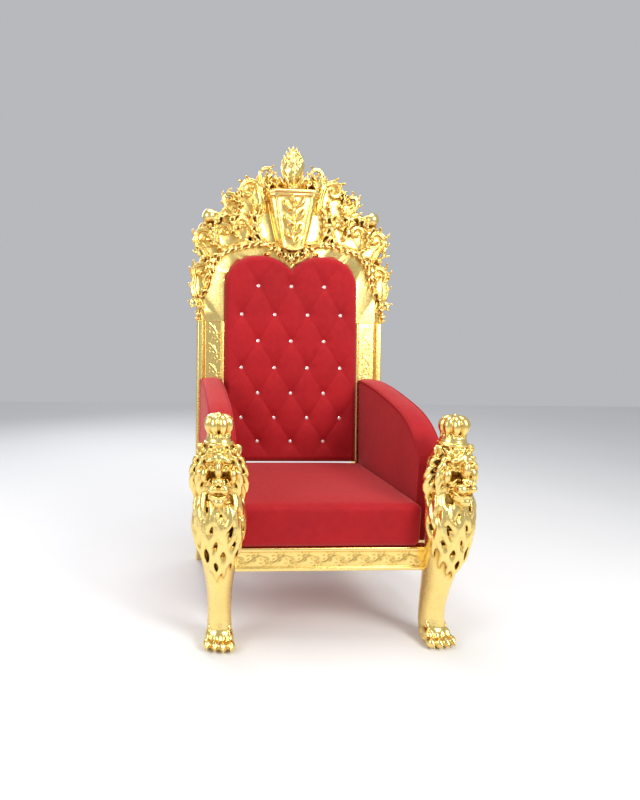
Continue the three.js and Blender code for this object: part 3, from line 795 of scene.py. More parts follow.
def evenly(points, spacing, start=0.5):
    """Places at an even spacing along a line of points, each with its direction."""
    line = [Vector(p) for p in points]
    lengths = [(b - a).length for a, b in zip(line, line[1:])]
    count = max(1, round(sum(lengths) / spacing))
    marks, travelled, leg = [], 0.0, 0
    for k in range(count):
        target = (k + start) * sum(lengths) / count
        while leg < len(lengths) - 1 and travelled + lengths[leg] < target:
            travelled += lengths[leg]
            leg += 1
        along = (line[leg + 1] - line[leg]).normalized()
        marks.append((line[leg] + along * (target - travelled), along))
    return marks


# %% [markdown]
# ## Running scrolls
#
# The front rail and the flat band round the back both carry the same ornament: a stem that waves from side
# to side, and in each bend a tendril that curls back to a berry, with small leaves off its outer edge. It is
# laid out flat, by length along the band and distance across it, and then wrapped onto the band.


# %% A running scroll, laid out flat
def leaflet(root, toward, size, curl):
    """A leaf lobe as one rod: it leaves its root, bends and ends in a point."""
    aside = Vector((-toward.y, toward.x))
    reach = [root, root + toward * size * 0.4 + aside * curl * 0.10, root + toward * size * 0.75 + aside * curl * 0.4,
             root + toward * size + aside * curl]
    return [(p, r * size) for p, r in zip(reach, (0.13, 0.2, 0.15, 0.01))]


def running_scroll(length, half_wide, pitch):
    """Runs of (place along and across, radius) for a scroll centred on a band of some length."""
    count = max(2, round(length / pitch))
    step = length / count
    runs = [[(Vector(((k / 2) * step, half_wide * 0.62 * math.cos(math.pi * k / 2))), 3.4) for k in range(2 * count + 1)]]
    for k in range(count):
        side = 1 if k % 2 else -1
        centre = Vector(((k + 0.5) * step, side * half_wide * 0.26))
        size = min(step * 0.44, half_wide * 0.66)
        spiral = []
        for turn in range(11):
            t = turn / 10
            angle = math.pi * (1.05 + 2.35 * t) * side
            reach = size * (1 - 0.8 * t)
            spiral.append((centre + Vector((math.cos(angle), math.sin(angle))) * reach, 3.4 * (1 - 0.45 * t)))
        spiral[0] = (Vector((k * step, -side * half_wide * 0.5)), 3.0)
        runs.append(spiral)
        runs.append([(centre + Vector((-1, 0)), 3.5), (centre, 4.6), (centre + Vector((1, 0)), 3.5)])
        for leaf in range(5):
            angle = math.pi * (0.15 + 0.23 * leaf) * side
            spoke = Vector((math.cos(angle), math.sin(angle)))
            sweep_on = Vector((-spoke.y, spoke.x)) * side
            runs.append(leaflet(centre + spoke * size * 0.82, (spoke * 0.9 + sweep_on * 0.3).normalized(),
                                half_wide * 0.46, side * 5))
    return runs


def wrapped(runs, onto, flatten=0.55):
    """Rods for flat runs, carried by onto(along, across) to a place and squashed towards y = 0."""
    laid = rods([[(onto(p.x, p.y), r) for p, r in run] for run in runs], 1, 2)
    laid.data.transform(Matrix.Scale(flatten, 4, (0, 1, 0)))
    return laid


# %% [markdown]
# ## Rear posts
#
# Each rear post runs from the floor up into the back's frame, as on any chair. The leg is plain and sweeps
# backwards, which stops a heavy back from tipping over. Above the seat its face has four steps: a small lip
# round the velvet, the carved flat, a groove, and a plain outer strip.


# %% Mouldings: a section drawn once and swept along a line
def swept_section(section, line, name):
    """Sweeps a closed section of (outwards, through) along a line of (x, z, outward x, outward z)."""
    verts, faces = [], []
    around = len(section)
    for x, z, out_x, out_z in line:
        verts += [(Vector((x + out_x * wide, through, z + out_z * wide)) * MM) for wide, through in section]
    for row in range(len(line) - 1):
        for k in range(around):
            a, b = row * around + k, row * around + (k + 1) % around
            faces.append((a, b, b + around, a + around))
    faces += [tuple(range(around)), tuple(range(len(verts) - around, len(verts)))[::-1]]
    mesh = bpy.data.meshes.new(name)
    mesh.from_pydata(verts, [], faces)
    piece = bpy.data.objects.new(name, mesh)
    bpy.context.scene.collection.objects.link(piece)
    return outward(piece)


def rounded(points, radius, steps=3):
    """A closed section with its corners rounded off."""
    done = []
    for k, corner in enumerate(points):
        here, before, after = Vector(corner), Vector(points[k - 1]), Vector(points[(k + 1) % len(points)])
        cut = min(radius, (before - here).length * 0.45, (after - here).length * 0.45)
        a, b = here + (before - here).normalized() * cut, here + (after - here).normalized() * cut
        for step in range(steps + 1):
            t = step / steps
            done.append(tuple(a * (1 - t) ** 2 + here * 2 * t * (1 - t) + b * t ** 2))
    return done


POST_SECTION = rounded([
    (0, BACK_THICK), (0, -8), (9, -9), (13, 0), (80, 0), (84, 6), (88, 6), (92, -4), (111, -4), (115, 2),
    (115, BACK_THICK)], 2.2)
LEG_RINGS = [(0, 716, 22, 23), (110, 678, 25, 25), (230, 650, 29, 28), (330, 642, 30, 29), (470, 654, 30, 24)]


def rear_leg():
    """The square leg below the seat, swept back to its foot."""
    bpy.ops.object.select_all(action="DESELECT")
    bpy.ops.mesh.primitive_cube_add(size=2, location=(0, 0, 0))
    leg = bpy.context.object
    alone(leg)
    bpy.ops.object.mode_set(mode="EDIT")
    bpy.ops.mesh.select_all(action="SELECT")
    bpy.ops.mesh.subdivide(number_cuts=15)
    bpy.ops.object.mode_set(mode="OBJECT")
    heights = [ring[0] for ring in LEG_RINGS]
    for vertex in leg.data.vertices:
        z = (vertex.co.z + 1) / 2 * heights[-1]
        middle, wide, deep = (float(np.interp(z, heights, [ring[k] for ring in LEG_RINGS])) for k in (1, 2, 3))
        x, y = vertex.co.x, vertex.co.y
        vertex.co = Vector((362 + x * wide, middle + y * deep, z)) * MM
    leg.data.transform(Matrix.Translation((0, PAWS_Y, 0)))
    return modify(leg, "BEVEL", width=4 * MM, segments=3, limit_method="ANGLE", angle_limit=math.radians(50))


def rear_post():
    stile = swept_section(POST_SECTION, [(PANEL_HALF, z, 1, 0) for z in (-60, CREST_FOOT)], "stile")
    scroll = wrapped(running_scroll(590, 31, 43), lambda along, across: Vector((PANEL_HALF + 46.5 + across, 0, along)))
    for piece in (stile, scroll):
        piece.data.transform(BACK)
    return joined([stile, scroll, rear_leg()], "rear_post")


right_post = rear_post()
left_post = mirrored(right_post, "rear_post_left_carved")
finished(right_post, "rear_post_right_carved", "gilding", carved_gold, "rear_post_right", crease=40)
finished(left_post, "rear_post_left_carved", "gilding", carved_gold, "rear_post_left", crease=40)

# %% [markdown]
# ## Seat rails
#
# The front rail is a flat board with a rounded fillet along each edge and the running scroll between them.
# The side and back rails have the same fillets and are left plain, since little of them shows.

# %% The rails
RAIL_TOP, RAIL_BOTTOM, RAIL_THICK = 325, 243, 40
RAIL_HIGH = RAIL_TOP - RAIL_BOTTOM
RAIL_SECTION = rounded([
    (0, RAIL_THICK), (0, -3), (5, -5), (12, -5), (15, 0), (RAIL_HIGH - 15, 0), (RAIL_HIGH - 12, -5),
    (RAIL_HIGH - 5, -5), (RAIL_HIGH, -3), (RAIL_HIGH, RAIL_THICK)], 2.5)


def rail(length, name, carved):
    """A rail along X, centred, with its face at y = 0."""
    board = swept_section([(wide, through) for wide, through in RAIL_SECTION],
                          [(x, RAIL_BOTTOM, 0, 1) for x in (-length / 2, length / 2)], name)
    if not carved:
        return board
    middle = (RAIL_TOP + RAIL_BOTTOM) / 2
    scroll = wrapped(running_scroll(length - 40, 26, 42), lambda a, b: Vector((a - (length - 40) / 2, 0, middle + b)), 0.7)
    return joined([board, scroll], name)


front_rail = rail(684, "front_rail_carved", True)
place_in_frame(front_rail, Matrix.Translation((0, PAWS_Y + 2 * MM, 0)))
finished(front_rail, "front_rail_carved", "gilding", carved_gold, "front_rail", crease=40)
back_rail = rail(662, "back_rail_plain", False)
place_in_frame(back_rail, Matrix.Translation((0, PAWS_Y + 668 * MM, 0)) @ Matrix.Rotation(math.pi, 4, "Z"))
finished(back_rail, "back_rail_plain", "gilding", plain_gold, "back_rail", crease=40)
for name, side in SIDES:
    side_rail = rail(569, f"side_rail_{name}_plain", False)
    turn = Matrix.Rotation(side * math.pi / 2, 4, "Z")
    place_in_frame(side_rail, Matrix.Translation((side * 398 * MM, PAWS_Y + 327.5 * MM, 0)) @ turn)
    finished(side_rail, f"side_rail_{name}_plain", "gilding", plain_gold, f"side_rail_{name}", crease=40)

# %% [markdown]
# # The crest
#
# The crest is the showpiece: an openwork of C-scrolls and acanthus leaves. A carver draws it as a few strong
# curls first, each with a stem, an eye and leaves off its outer edge, and fills the spaces with smaller
# leaves. It is symmetrical, so one half is drawn, in the back's own frame, and repeated.


# %% Parts of a scroll
FRONT = Vector((0, -1, 0))


def flat_path(points, lift=0.0):
    """Places over the face of the back from (x, z) points."""
    return [Vector((x, -lift, z)) for x, z in points]


def curl(x, z, reach, start, turns, tail=(), grip=0.26):
    """A path that comes up a tail and winds into an eye. Angles are in half turns, anticlockwise if positive."""
    count = max(8, round(abs(turns) * 13))
    path = flat_path(tail)
    for k in range(count + 1):
        t = k / count
        angle = math.pi * (start + 2 * turns * t)
        at = reach * (1 - (1 - grip) * t ** 0.9)
        path.append(Vector((x + math.cos(angle) * at, -7 * t, z + math.sin(angle) * at)))
    return path


def along_path(path, t):
    """The place at a share of a path, and the direction of travel there."""
    at = min(t * (len(path) - 1), len(path) - 1.001)
    k = int(at)
    ahead = (path[min(k + 2, len(path) - 1)] - path[max(k - 1, 0)]).normalized()
    return path[k].lerp(path[k + 1], at - k), ahead


def aside_of(ahead):
    return Vector((-ahead.z, 0, ahead.x)).normalized()


def channelled(path, stock, last=0.5):
    """A stem with a sunk channel between two round edges."""
    runs = []
    for offset, sunk, thick in ((-0.58, 0, 0.46), (0, 4, 0.6), (0.58, 0, 0.46)):
        run = []
        for k, place in enumerate(path):
            t = k / (len(path) - 1)
            wide = stock * (1 - (1 - last) * t)
            _, ahead = along_path(path, t)
            run.append((place + aside_of(ahead) * offset * wide + Vector((0, sunk, 0)), thick * wide))
        runs.append(run)
    return runs


def leaf_lobes(path, side, size, count, start=0.02, end=0.8, root=5.0):
    """Leaf lobes off one side of a path: each leaves the stem, bends forwards and rolls its tip towards the front."""
    runs = []
    for k in range(count):
        share = k / max(1, count - 1)
        place, ahead = along_path(path, start + (end - start) * share)
        out = aside_of(ahead) * side
        s = size * (0.72 + 0.28 * math.sin(math.pi * share))
        shape = [(0.0, 0.0, 0, 0.20), (0.34, 0.52, 2, 0.27), (0.78, 0.84, 8, 0.25), (1.10, 0.78, 11, 0.15),
                 (1.22, 0.52, 8, 0.04)]
        runs.append([(place + out * root * (1 - w) + (ahead * f + out * w) * s + FRONT * rise * size / 24, r * s)
                     for f, w, rise, r in shape])
    return runs


def acanthus(points, width, count, lift=6):
    """A leaf along a line: a midrib, a thick web under it, and lobes down both sides."""
    path = [Vector((x, -lift - 7 * math.sin(math.pi * k / (len(points) - 1)), z)) for k, (x, z) in enumerate(points)]
    fine = [along_path(path, k / 8)[0] for k in range(9)]
    web = [(p - FRONT * 7, width * 0.45 * (1.05 - abs(k / 8 - 0.4))) for k, p in enumerate(fine)]
    rib = [(p + FRONT * 3, width * 0.15 * (1.2 - k / 8)) for k, p in enumerate(fine)]
    runs = [web, rib]
    for side in (-1, 1):
        runs += leaf_lobes(fine, side, width, count, 0.02, 0.86, 1.0)
    return runs


# %% [markdown]
# The strong curls stand at the edge and run through the whole thickness of the board, so they are drawn out
# deep. The leaves between them lie on the board.

# %% The drawing of one half
CURLS = [  # x, z, reach, start, turns, half width of the stem, tail, leaf size, leaves
    (105, 1230, 31, 0.0, 0.95, 10, [(126, 1128), (139, 1175)], 15, 3),
    (184, 1160, 50, 1.0, -1.05, 12.5, [(118, 1062), (122, 1112)], 19, 7),
    (262, 1119, 35, -0.45, 0.98, 10.5, [(222, 1052), (250, 1070)], 17, 6),
    (214, 1014, 35, 1.0, -0.92, 9.5, [(196, 934), (184, 974)], 16, 5),
    (286, 984, 39, -0.25, 0.95, 10.5, [(304, 905), (322, 940)], 17, 5),
    (370, 956, 49, -0.40, 1.02, 12.5, [(352, 858), (372, 892)], 20, 7),
    (378, 806, 48, -0.25, 1.04, 12.5, [(384, 640), (408, 690), (424, 742)], 21, 9),
    (414, 668, 25, 1.0, -0.85, 9.5, [(388, 600), (391, 640)], 14, 4),
    (110, 893, 25, 0.0, 0.85, 8.5, [(62, 880), (98, 864), (130, 872)], 11, 3),
]
LEAVES = [  # points of the midrib, half width, lobes a side
    ([(122, 930), (152, 985), (150, 1040), (126, 1098)], 23, 5),
    ([(158, 925), (172, 968), (172, 1046), (160, 1118)], 20, 5),
    ([(80, 905), (126, 934), (178, 930), (236, 906)], 22, 5),
    ([(232, 908), (286, 900), (326, 862), (345, 800)], 23, 6),
    ([(345, 880), (352, 836), (350, 770), (372, 700)], 21, 6),
    ([(226, 952), (252, 990), (246, 1046), (218, 1088)], 20, 5),
    ([(300, 905), (338, 930), (338, 985), (316, 1032)], 20, 5),
    ([(250, 1040), (288, 1052), (318, 1044), (344, 1012)], 20, 4),
    ([(60, 1150), (70, 1178), (66, 1208), (74, 1240)], 15, 4),
    ([(106, 1112), (98, 1150), (104, 1176), (96, 1206)], 16, 4),
    ([(376, 862), (396, 878), (412, 900), (408, 928)], 18, 3),
    ([(404, 600), (400, 628), (388, 700), (376, 742)], 15, 5),
    ([(204, 1092), (228, 1104), (236, 1130), (226, 1160)], 17, 4),
    ([(0, 918), (0, 895), (0, 868), (0, 838)], 15, 4),
    ([(34, 922), (33, 900), (26, 876), (13, 852)], 15, 4),
    ([(66, 926), (66, 908), (57, 888), (38, 868)], 15, 4),
]
CREST_EDGE = [(400, CREST_FOOT + 0.3), (404, 690), (412, 760), (408, 826), (384, 872), (398, 920), (396, 975),
              (372, 1022), (332, 1052), (292, 1072), (276, 1120), (238, 1150), (196, 1188), (140, 1196), (104, 1232),
              (70, 1210), (38, 1180), (0, 1175)]
PIERCINGS = [(90, 1180, 15, 13), (172, 952, 17, 13)]


# %% The board behind the carving
def plate(outlines, front, rear):
    """A flat board with closed outlines of (x, z); an outline inside another one is a hole."""
    curve = bpy.data.curves.new("plate", "CURVE")
    curve.dimensions, curve.fill_mode, curve.extrude = "2D", "BOTH", (rear - front) / 2 * MM
    for outline in outlines:
        spline = curve.splines.new("POLY")
        spline.points.add(len(outline) - 1)
        for point, (x, z) in zip(spline.points, outline):
            point.co = (x * MM, z * MM, 0, 1)
        spline.use_cyclic_u = True
    board = bpy.data.objects.new("plate", curve)
    bpy.context.scene.collection.objects.link(board)
    alone(board)
    bpy.ops.object.convert(target="MESH")
    board = bpy.context.object
    stand_up = Matrix.Translation((0, (front + rear) / 2 * MM, 0)) @ Matrix.Rotation(math.pi / 2, 4, "X")
    board.data.transform(stand_up)
    return outward(board)


def ring(x, z, wide, high, count=14):
    return [(x + wide * math.cos(2 * math.pi * k / count), z + high * math.sin(2 * math.pi * k / count))
            for k in range(count)]


def crest_board():
    opening = whole_edge(heart_half(bottom=CREST_FOOT + 0.3, count=20))
    holes = [ring(side * x, z, wide, high) for x, z, wide, high in PIERCINGS for _, side in SIDES]
    board = plate([[*whole_edge(CREST_EDGE), *opening[::-1]], *holes], 6, BACK_THICK)
    rim = [(370, CREST_FOOT + 0.3), (370, 760), *curved((370, 760), (370, 862), (285, 934), (150, 934), 14), (150, 934),
           (60, 930), (0, 900)]
    band = plate([[*whole_edge(rim), *opening[::-1]]], 0, 20)
    bead = rods([[(Vector((x, -1, z)), 6) for x, z in whole_edge(rim[1:-2])]], 2, 1)
    return [board, band, bead]


# %% [markdown]
# The keystone is a tapered block that stands well forward over the cusp, with a cap moulding on top and a
# raised rim. Its field carries a spray of leaves and berries.


# %% The keystone
KEY_TOP, KEY_BOTTOM = 1137, 905


def key_half(z):
    share = (z - KEY_BOTTOM) / (KEY_TOP - KEY_BOTTOM)
    return 50 + 54 * max(0.0, share) ** 0.8, 37 + 25 * share


def keystone():
    stations = [KEY_BOTTOM + (KEY_TOP - KEY_BOTTOM) * k / 12 for k in range(13)]
    verts, faces = [], []
    profile = [(-1, 0), (-1, 0.72), (-0.9, 0.86), (-0.72, 0.97), (0, 1.0), (0.72, 0.97), (0.9, 0.86), (1, 0.72), (1, 0)]
    for z in stations:
        half, proud = key_half(z)
        verts += [Vector((x * half, 12 - (12 + proud) * out, z)) * MM for x, out in profile]
    n = len(profile)
    for row in range(len(stations) - 1):
        faces += [(row * n + k, row * n + (k + 1) % n, (row + 1) * n + (k + 1) % n, (row + 1) * n + k) for k in range(n)]
    faces += [tuple(range(n)), tuple(range(len(verts) - n, len(verts)))[::-1]]
    mesh = bpy.data.meshes.new("keystone")
    mesh.from_pydata(verts, [], faces)
    block = bpy.data.objects.new("keystone", mesh)
    bpy.context.scene.collection.objects.link(block)
    outward(block)
    runs = []
    for side in (-1, 1):  # the rim, inside the edge of the face
        edge = [(Vector((side * key_half(z)[0] * 0.78, -key_half(z)[1] - 1, z)), 4.2) for z in stations[:-1]]
        runs.append(edge)
    half, proud = key_half(KEY_BOTTOM)
    runs.append([(Vector((x * half * 0.78, -proud - 1, KEY_BOTTOM + 3 - 10 * (1 - x * x))), 5) for x in (-1, -0.5, 0, 0.5, 1)])
    for drop, out, thick in ((0, 6, 7), (-13, 2, 5)):  # the cap moulding
        half, proud = key_half(KEY_TOP + drop)
        corner = [(-half - out, 6), (-half - out, -proud * 0.78), (-half * 0.8, -proud - out), (half * 0.8, -proud - out),
                  (half + out, -proud * 0.78), (half + out, 6)]
        line = [Vector((x, y, KEY_TOP + drop)) for x, y in corner]
        full = [line[0].lerp(line[1], 0.5)] + [a.lerp(b, t) for a, b in zip(line[1:], line[2:]) for t in (0, 0.33, 0.66)]
        runs.append([(p, thick) for p in [line[0], *full, line[-1]]])
    cap = blob((0, -24, KEY_TOP), (104, 46, 9))
    return [block, cap, rods([*runs, *spray()], 2, 3)]


def spray():
    """A leafy spray: one stem in an S, leaves off it in pairs, and a few berries."""
    face = lambda x, z, lift=0.0: Vector((x, -key_half(z)[1] - 2 - lift, z))
    stem = [(4, 922), (-8, 960), (8, 1004), (-6, 1050), (6, 1098)]
    runs = [[(face(x, z, 2), 5.2 - 0.5 * k) for k, (x, z) in enumerate(stem)]]
    for x, z, tip_x, tip_z, size in [
            (-4, 945, -34, 972, 8), (0, 962, 32, 998, 8.5), (4, 1000, -38, 1036, 9.5), (2, 1020, 42, 1058, 9.5),
            (-4, 1058, -44, 1094, 9), (2, 1072, 42, 1108, 8), (4, 1090, -8, 1120, 7), (4, 930, 20, 946, 6)]:
        bend = 10 if tip_x > x else -10
        runs.append([(face(x, z, 2), size * 0.45), (face((x + tip_x) / 2 + bend * 0.3, (z + tip_z) / 2 - 7, 6), size),
                     (face(tip_x, tip_z - 4, 5), size * 0.75), (face(tip_x - bend * 0.2, tip_z + 6, 2), 1)])
    for x, z in [(-26, 1064), (24, 1030), (-22, 1000), (24, 1084), (-14, 1108)]:
        runs.append([(face(x - 1, z, 4), 6), (face(x, z, 5), 6.5), (face(x + 1, z, 4), 6)])
    return runs


# %% [markdown]
# The bud on top is like a pine cone: scales in rings over a turned core, above a calyx of leaves and a cup.


# %% The bud
def bud():
    middle_y = -14
    turned = [(1140, 30), (1150, 34), (1162, 30), (1176, 19), (1190, 22), (1206, 36), (1226, 47), (1246, 49),
              (1272, 41), (1300, 27), (1322, 14), (1338, 4)]
    core = rods([[(Vector((0, 0, z)), r) for z, r in turned]], 6, 3)
    core.data.transform(Matrix.Translation((0, middle_y * MM, 0)) @ Matrix.Scale(0.74, 4, (0, 1, 0)))
    runs = []
    for row, (z, reach, count, size) in enumerate([
            (1206, 33, 9, 13), (1226, 42, 10, 12), (1246, 45, 10, 11.5), (1266, 41, 9, 11), (1285, 33, 8, 9.5),
            (1303, 23, 6, 8), (1318, 13, 5, 6.5)]):
        for k in range(count):
            angle = 2 * math.pi * (k + 0.5 * (row % 2)) / count
            out = Vector((math.sin(angle), -math.cos(angle) * 0.74, 0))
            foot = Vector((0, middle_y, z)) + out * reach * 0.9
            runs.append([(foot, size * 0.55), (foot + out * 6 + Vector((0, 0, 9)), size * 0.62),
                         (foot + out * 7 + Vector((0, 0, 18)), size * 0.4), (foot + out * 4 + Vector((0, 0, 25)), 0.8)])
    for k in range(8):  # the calyx, which opens outwards
        angle = 2 * math.pi * k / 8
        out = Vector((math.sin(angle), -math.cos(angle) * 0.74, 0))
        foot = Vector((0, middle_y, 1168)) + out * 18
        runs.append([(foot, 8), (foot + out * 16 + Vector((0, 0, 14)), 10), (foot + out * 30 + Vector((0, 0, 34)), 7),
                     (foot + out * 40 + Vector((0, 0, 42)), 3), (foot + out * 46 + Vector((0, 0, 38)), 1)])
    top = [(Vector((0, middle_y, z)), r) for z, r in ((1322, 9), (1334, 6), (1345, 1))]
    return [core, rods([*runs, top], 1, 3)]


# %% The crest, fused from one half drawn twice
def crest():
    deep, shallow, parts = [], [], []
    for x, z, reach, start, turns, stock, tail, size, count in CURLS:
        path = curl(x, z, reach, start, turns, tail)
        outer = -1 if turns > 0 else 1
        deep += channelled(path, stock)
        deep += leaf_lobes(path, outer, size, count, 0.12, 0.72, stock * 0.6)
        eye = path[-1]
        deep.append([(eye + Vector((-1, 0, 0)), stock * 0.62), (eye + FRONT * 5, stock * 0.7),
                     (eye + Vector((1, 0, 0)), stock * 0.62)])
    for points, width, count in LEAVES:
        shallow += acanthus(points, width, count)
    deep = [run for run in deep]
    mirror = lambda runs: [[(Vector((-p.x, p.y, p.z)), r) for p, r in run] for run in runs]
    edge = rods([*deep, *mirror(deep)], 1, 2)
    edge.data.transform(Matrix.Translation((0, 10 * MM, 0)) @ Matrix.Scale(2.3, 4, (0, 1, 0)))
    leaves = rods([*shallow, *mirror(shallow)], 1, 2)
    parts += [edge, leaves, *crest_board(), *keystone(), *bud()]
    for _, side in SIDES:
        parts.append(blob((side * 352, 4, 1044), (31, 30, 31)))
    whole = fused(parts, "crest", 3.0, 2)
    alone(whole)
    bpy.ops.object.mode_set(mode="EDIT")
    for place, normal in (((0, BACK_THICK * MM, 0), (0, 1, 0)), ((0, 0, (CREST_FOOT + 0.3) * MM), (0, 0, -1))):
        bpy.ops.mesh.select_all(action="SELECT")
        bpy.ops.mesh.bisect(plane_co=place, plane_no=normal, clear_outer=True, use_fill=True)
    bpy.ops.object.mode_set(mode="OBJECT")
    return whole


crest_piece = crest()
print("crest before thinning:", triangles(crest_piece))
if triangles(crest_piece) > 190000:
    modify(crest_piece, "DECIMATE", ratio=185000 / triangles(crest_piece))
lip = swept_section(rounded([(0, 12), (0, -8), (9, -9), (13, 2), (13, 12)], 2), [
    (*p, *n) for p, n in []], "lip") if False else None
crest_piece.data.transform(BACK)
finished(crest_piece, "crest_carved", "gilding", carved_gold, "crest")

# %% [markdown]
# # The upholstery
#
# ## The tufted back
#
# Deep buttoning starts with a thick pad. Each button pulls the velvet in, and the spare cloth folds into
# pleats that run from button to button, so that the pad is cut into diamonds. Its edge is rolled over and
# tacked under the frame's lip. Here the face is a fine grid whose points are pushed in and out by a formula:
# full in the middle of a diamond, lower along a pleat, lowest at a button.

# %% The grid of buttons
BUTTON_ROWS = [748, 627, 515, 401, 293, 188, 88]  # heights up the back
HALF_PITCH = 71
PAD_PROUD, PAD_REAR = 32, 22
BUTTONS = [(u * HALF_PITCH, z) for row, z in enumerate(BUTTON_ROWS) for u in range(-3, 4) if (u + row) % 2 == 0]
BUTTONS = [place for place in BUTTONS if abs(place[0]) < 3.5 * HALF_PITCH]


def top_of_panel(x):
    """The height of the heart-shaped edge above a place across the back."""
    edge = sorted(p for p in heart_half(count=40) if p[1] >= PANEL_SHOULDER - 1)
    return np.interp(abs(x), [p[0] for p in edge], [p[1] for p in edge])


def edge_distance(x, z):
    """How far inside the opening's edge each place is, in millimetres."""
    line = np.array([*whole_edge(heart_half(count=24)), (PANEL_HALF, 0)])
    nearest = np.full(x.shape, np.inf)
    for a, b in zip(line[:-1], line[1:]):
        along = b - a
        t = np.clip(((x - a[0]) * along[0] + (z - a[1]) * along[1]) / max(along @ along, 1e-9), 0, 1)
        nearest = np.minimum(nearest, np.hypot(x - a[0] - t * along[0], z - a[1] - t * along[1]))
    return nearest


def tufting(x, z):
    """How far the velvet is pulled in at each place, in millimetres."""
    row = np.interp(z, BUTTON_ROWS[::-1], range(len(BUTTON_ROWS))[::-1])
    row += np.where(z > BUTTON_ROWS[0], -(z - BUTTON_ROWS[0]) / 120, 0)
    row += np.where(z < BUTTON_ROWS[-1], (BUTTON_ROWS[-1] - z) / 100, 0)
    u = x / HALF_PITCH
    pleat = np.abs(np.sin(np.pi * (u + row) / 2)) * np.abs(np.sin(np.pi * (u - row) / 2))
    within = np.clip(edge_distance(x, z) / 70, 0, 1) ** 1.5
    pulled = 8.5 * (1 - pleat ** 0.42) * within
    for bx, bz in BUTTONS:
        away = np.hypot(x - bx, (z - bz) * 1.1)
        pulled += 8.5 * np.exp(-(away / 19) ** 1.35) + 3.0 * np.exp(-(away / 44) ** 2)
    return np.minimum(pulled, 20)


def back_pad():
    """The padded back: a tufted face, a rolled edge and a flat rear."""
    across, up = 150, 210
    u = np.sin(np.linspace(-1, 1, across) * math.pi / 2 * 0.86) / math.sin(math.pi / 2 * 0.86)
    grid_x = np.repeat(u[None, :] * (PANEL_HALF - 1), up, axis=0)
    top = np.array([top_of_panel(x) - 1 for x in grid_x[0]])
    v = np.linspace(0, 1, up)[:, None]
    grid_z = 2 + (top[None, :] - 2) * v
    inside = edge_distance(grid_x, grid_z)
    roll = np.sqrt(np.clip(1 - (1 - np.clip(inside / 26, 0, 1)) ** 2, 0, 1))
    depth = 2 - (PAD_PROUD + 2) * roll + tufting(grid_x, grid_z) * np.clip(inside / 26, 0, 1)
    verts = np.stack([grid_x, depth, grid_z], axis=-1).reshape(-1, 3) * MM
    faces = [(r * across + c, r * across + c + 1, (r + 1) * across + c + 1, (r + 1) * across + c)
             for r in range(up - 1) for c in range(across - 1)]
    mesh = bpy.data.meshes.new("back_pad")
    mesh.from_pydata(verts.tolist(), [], faces)
    pad = bpy.data.objects.new("back_pad", mesh)
    bpy.context.scene.collection.objects.link(pad)
    alone(pad)
    bpy.ops.object.mode_set(mode="EDIT")
    bpy.ops.mesh.select_all(action="DESELECT")
    bpy.ops.mesh.select_non_manifold()
    bpy.ops.mesh.extrude_edges_move(TRANSFORM_OT_translate={"value": (0, 1 * MM, 0)})
    bpy.ops.transform.resize(value=(1, 0, 1), center_override=(0, PAD_REAR * MM, 0))
    bpy.ops.mesh.edge_face_add()
    bpy.ops.object.mode_set(mode="OBJECT")
    outward(pad)
    return pad


back_cushion = back_pad()
back_cushion.data.transform(BACK)
finished(back_cushion, "back_cushion_tufted", "velvet", red_velvet, "back_cushion", crease=50)

# %% [markdown]
# The buttons are small cut crystals in cups. One is turned and faceted, and copied to each place.


# %% The buttons
def crystal_button():
    """A faceted dome in a round cup, facing the front, at the origin."""
    bpy.ops.object.select_all(action="DESELECT")
    bpy.ops.mesh.primitive_cylinder_add(vertices=10, radius=7.5 * MM, depth=5 * MM, rotation=(math.pi / 2, 0, 0))
    gem = bpy.context.object
    bpy.ops.object.transform_apply(location=True, rotation=True, scale=True)
    bpy.ops.object.mode_set(mode="EDIT")
    bpy.ops.mesh.select_all(action="DESELECT")
    bpy.ops.object.mode_set(mode="OBJECT")
    front = min(gem.data.polygons, key=lambda face: face.center.y)
    front.select = True
    bpy.ops.object.mode_set(mode="EDIT")
    bpy.ops.mesh.inset(thickness=2.2 * MM, depth=1.6 * MM)
    bpy.ops.mesh.inset(thickness=2.0 * MM, depth=0.8 * MM)
    bpy.ops.object.mode_set(mode="OBJECT")
    return gem


button = crystal_button()
for number, (x, z) in enumerate(BUTTONS, 1):
    copy = button.copy()
    copy.data = button.data.copy()
    bpy.context.scene.collection.objects.link(copy)
    pulled = float(tufting(np.array([float(x)]), np.array([float(z)]))[0])
    copy.data.transform(BACK @ Matrix.Translation((x * MM, (-PAD_PROUD + pulled - 1.5) * MM, z * MM)))
    copy.data.polygons.foreach_set("use_smooth", [False] * len(copy.data.polygons))
    copy.name = copy.data.name = f"button_{number:02d}_crystal"
    copy.data.materials.append(crystal)
    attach(copy, "root")
    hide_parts(f"button_{number:02d}")
bpy.data.objects.remove(button)
print("buttons:", len(BUTTONS))
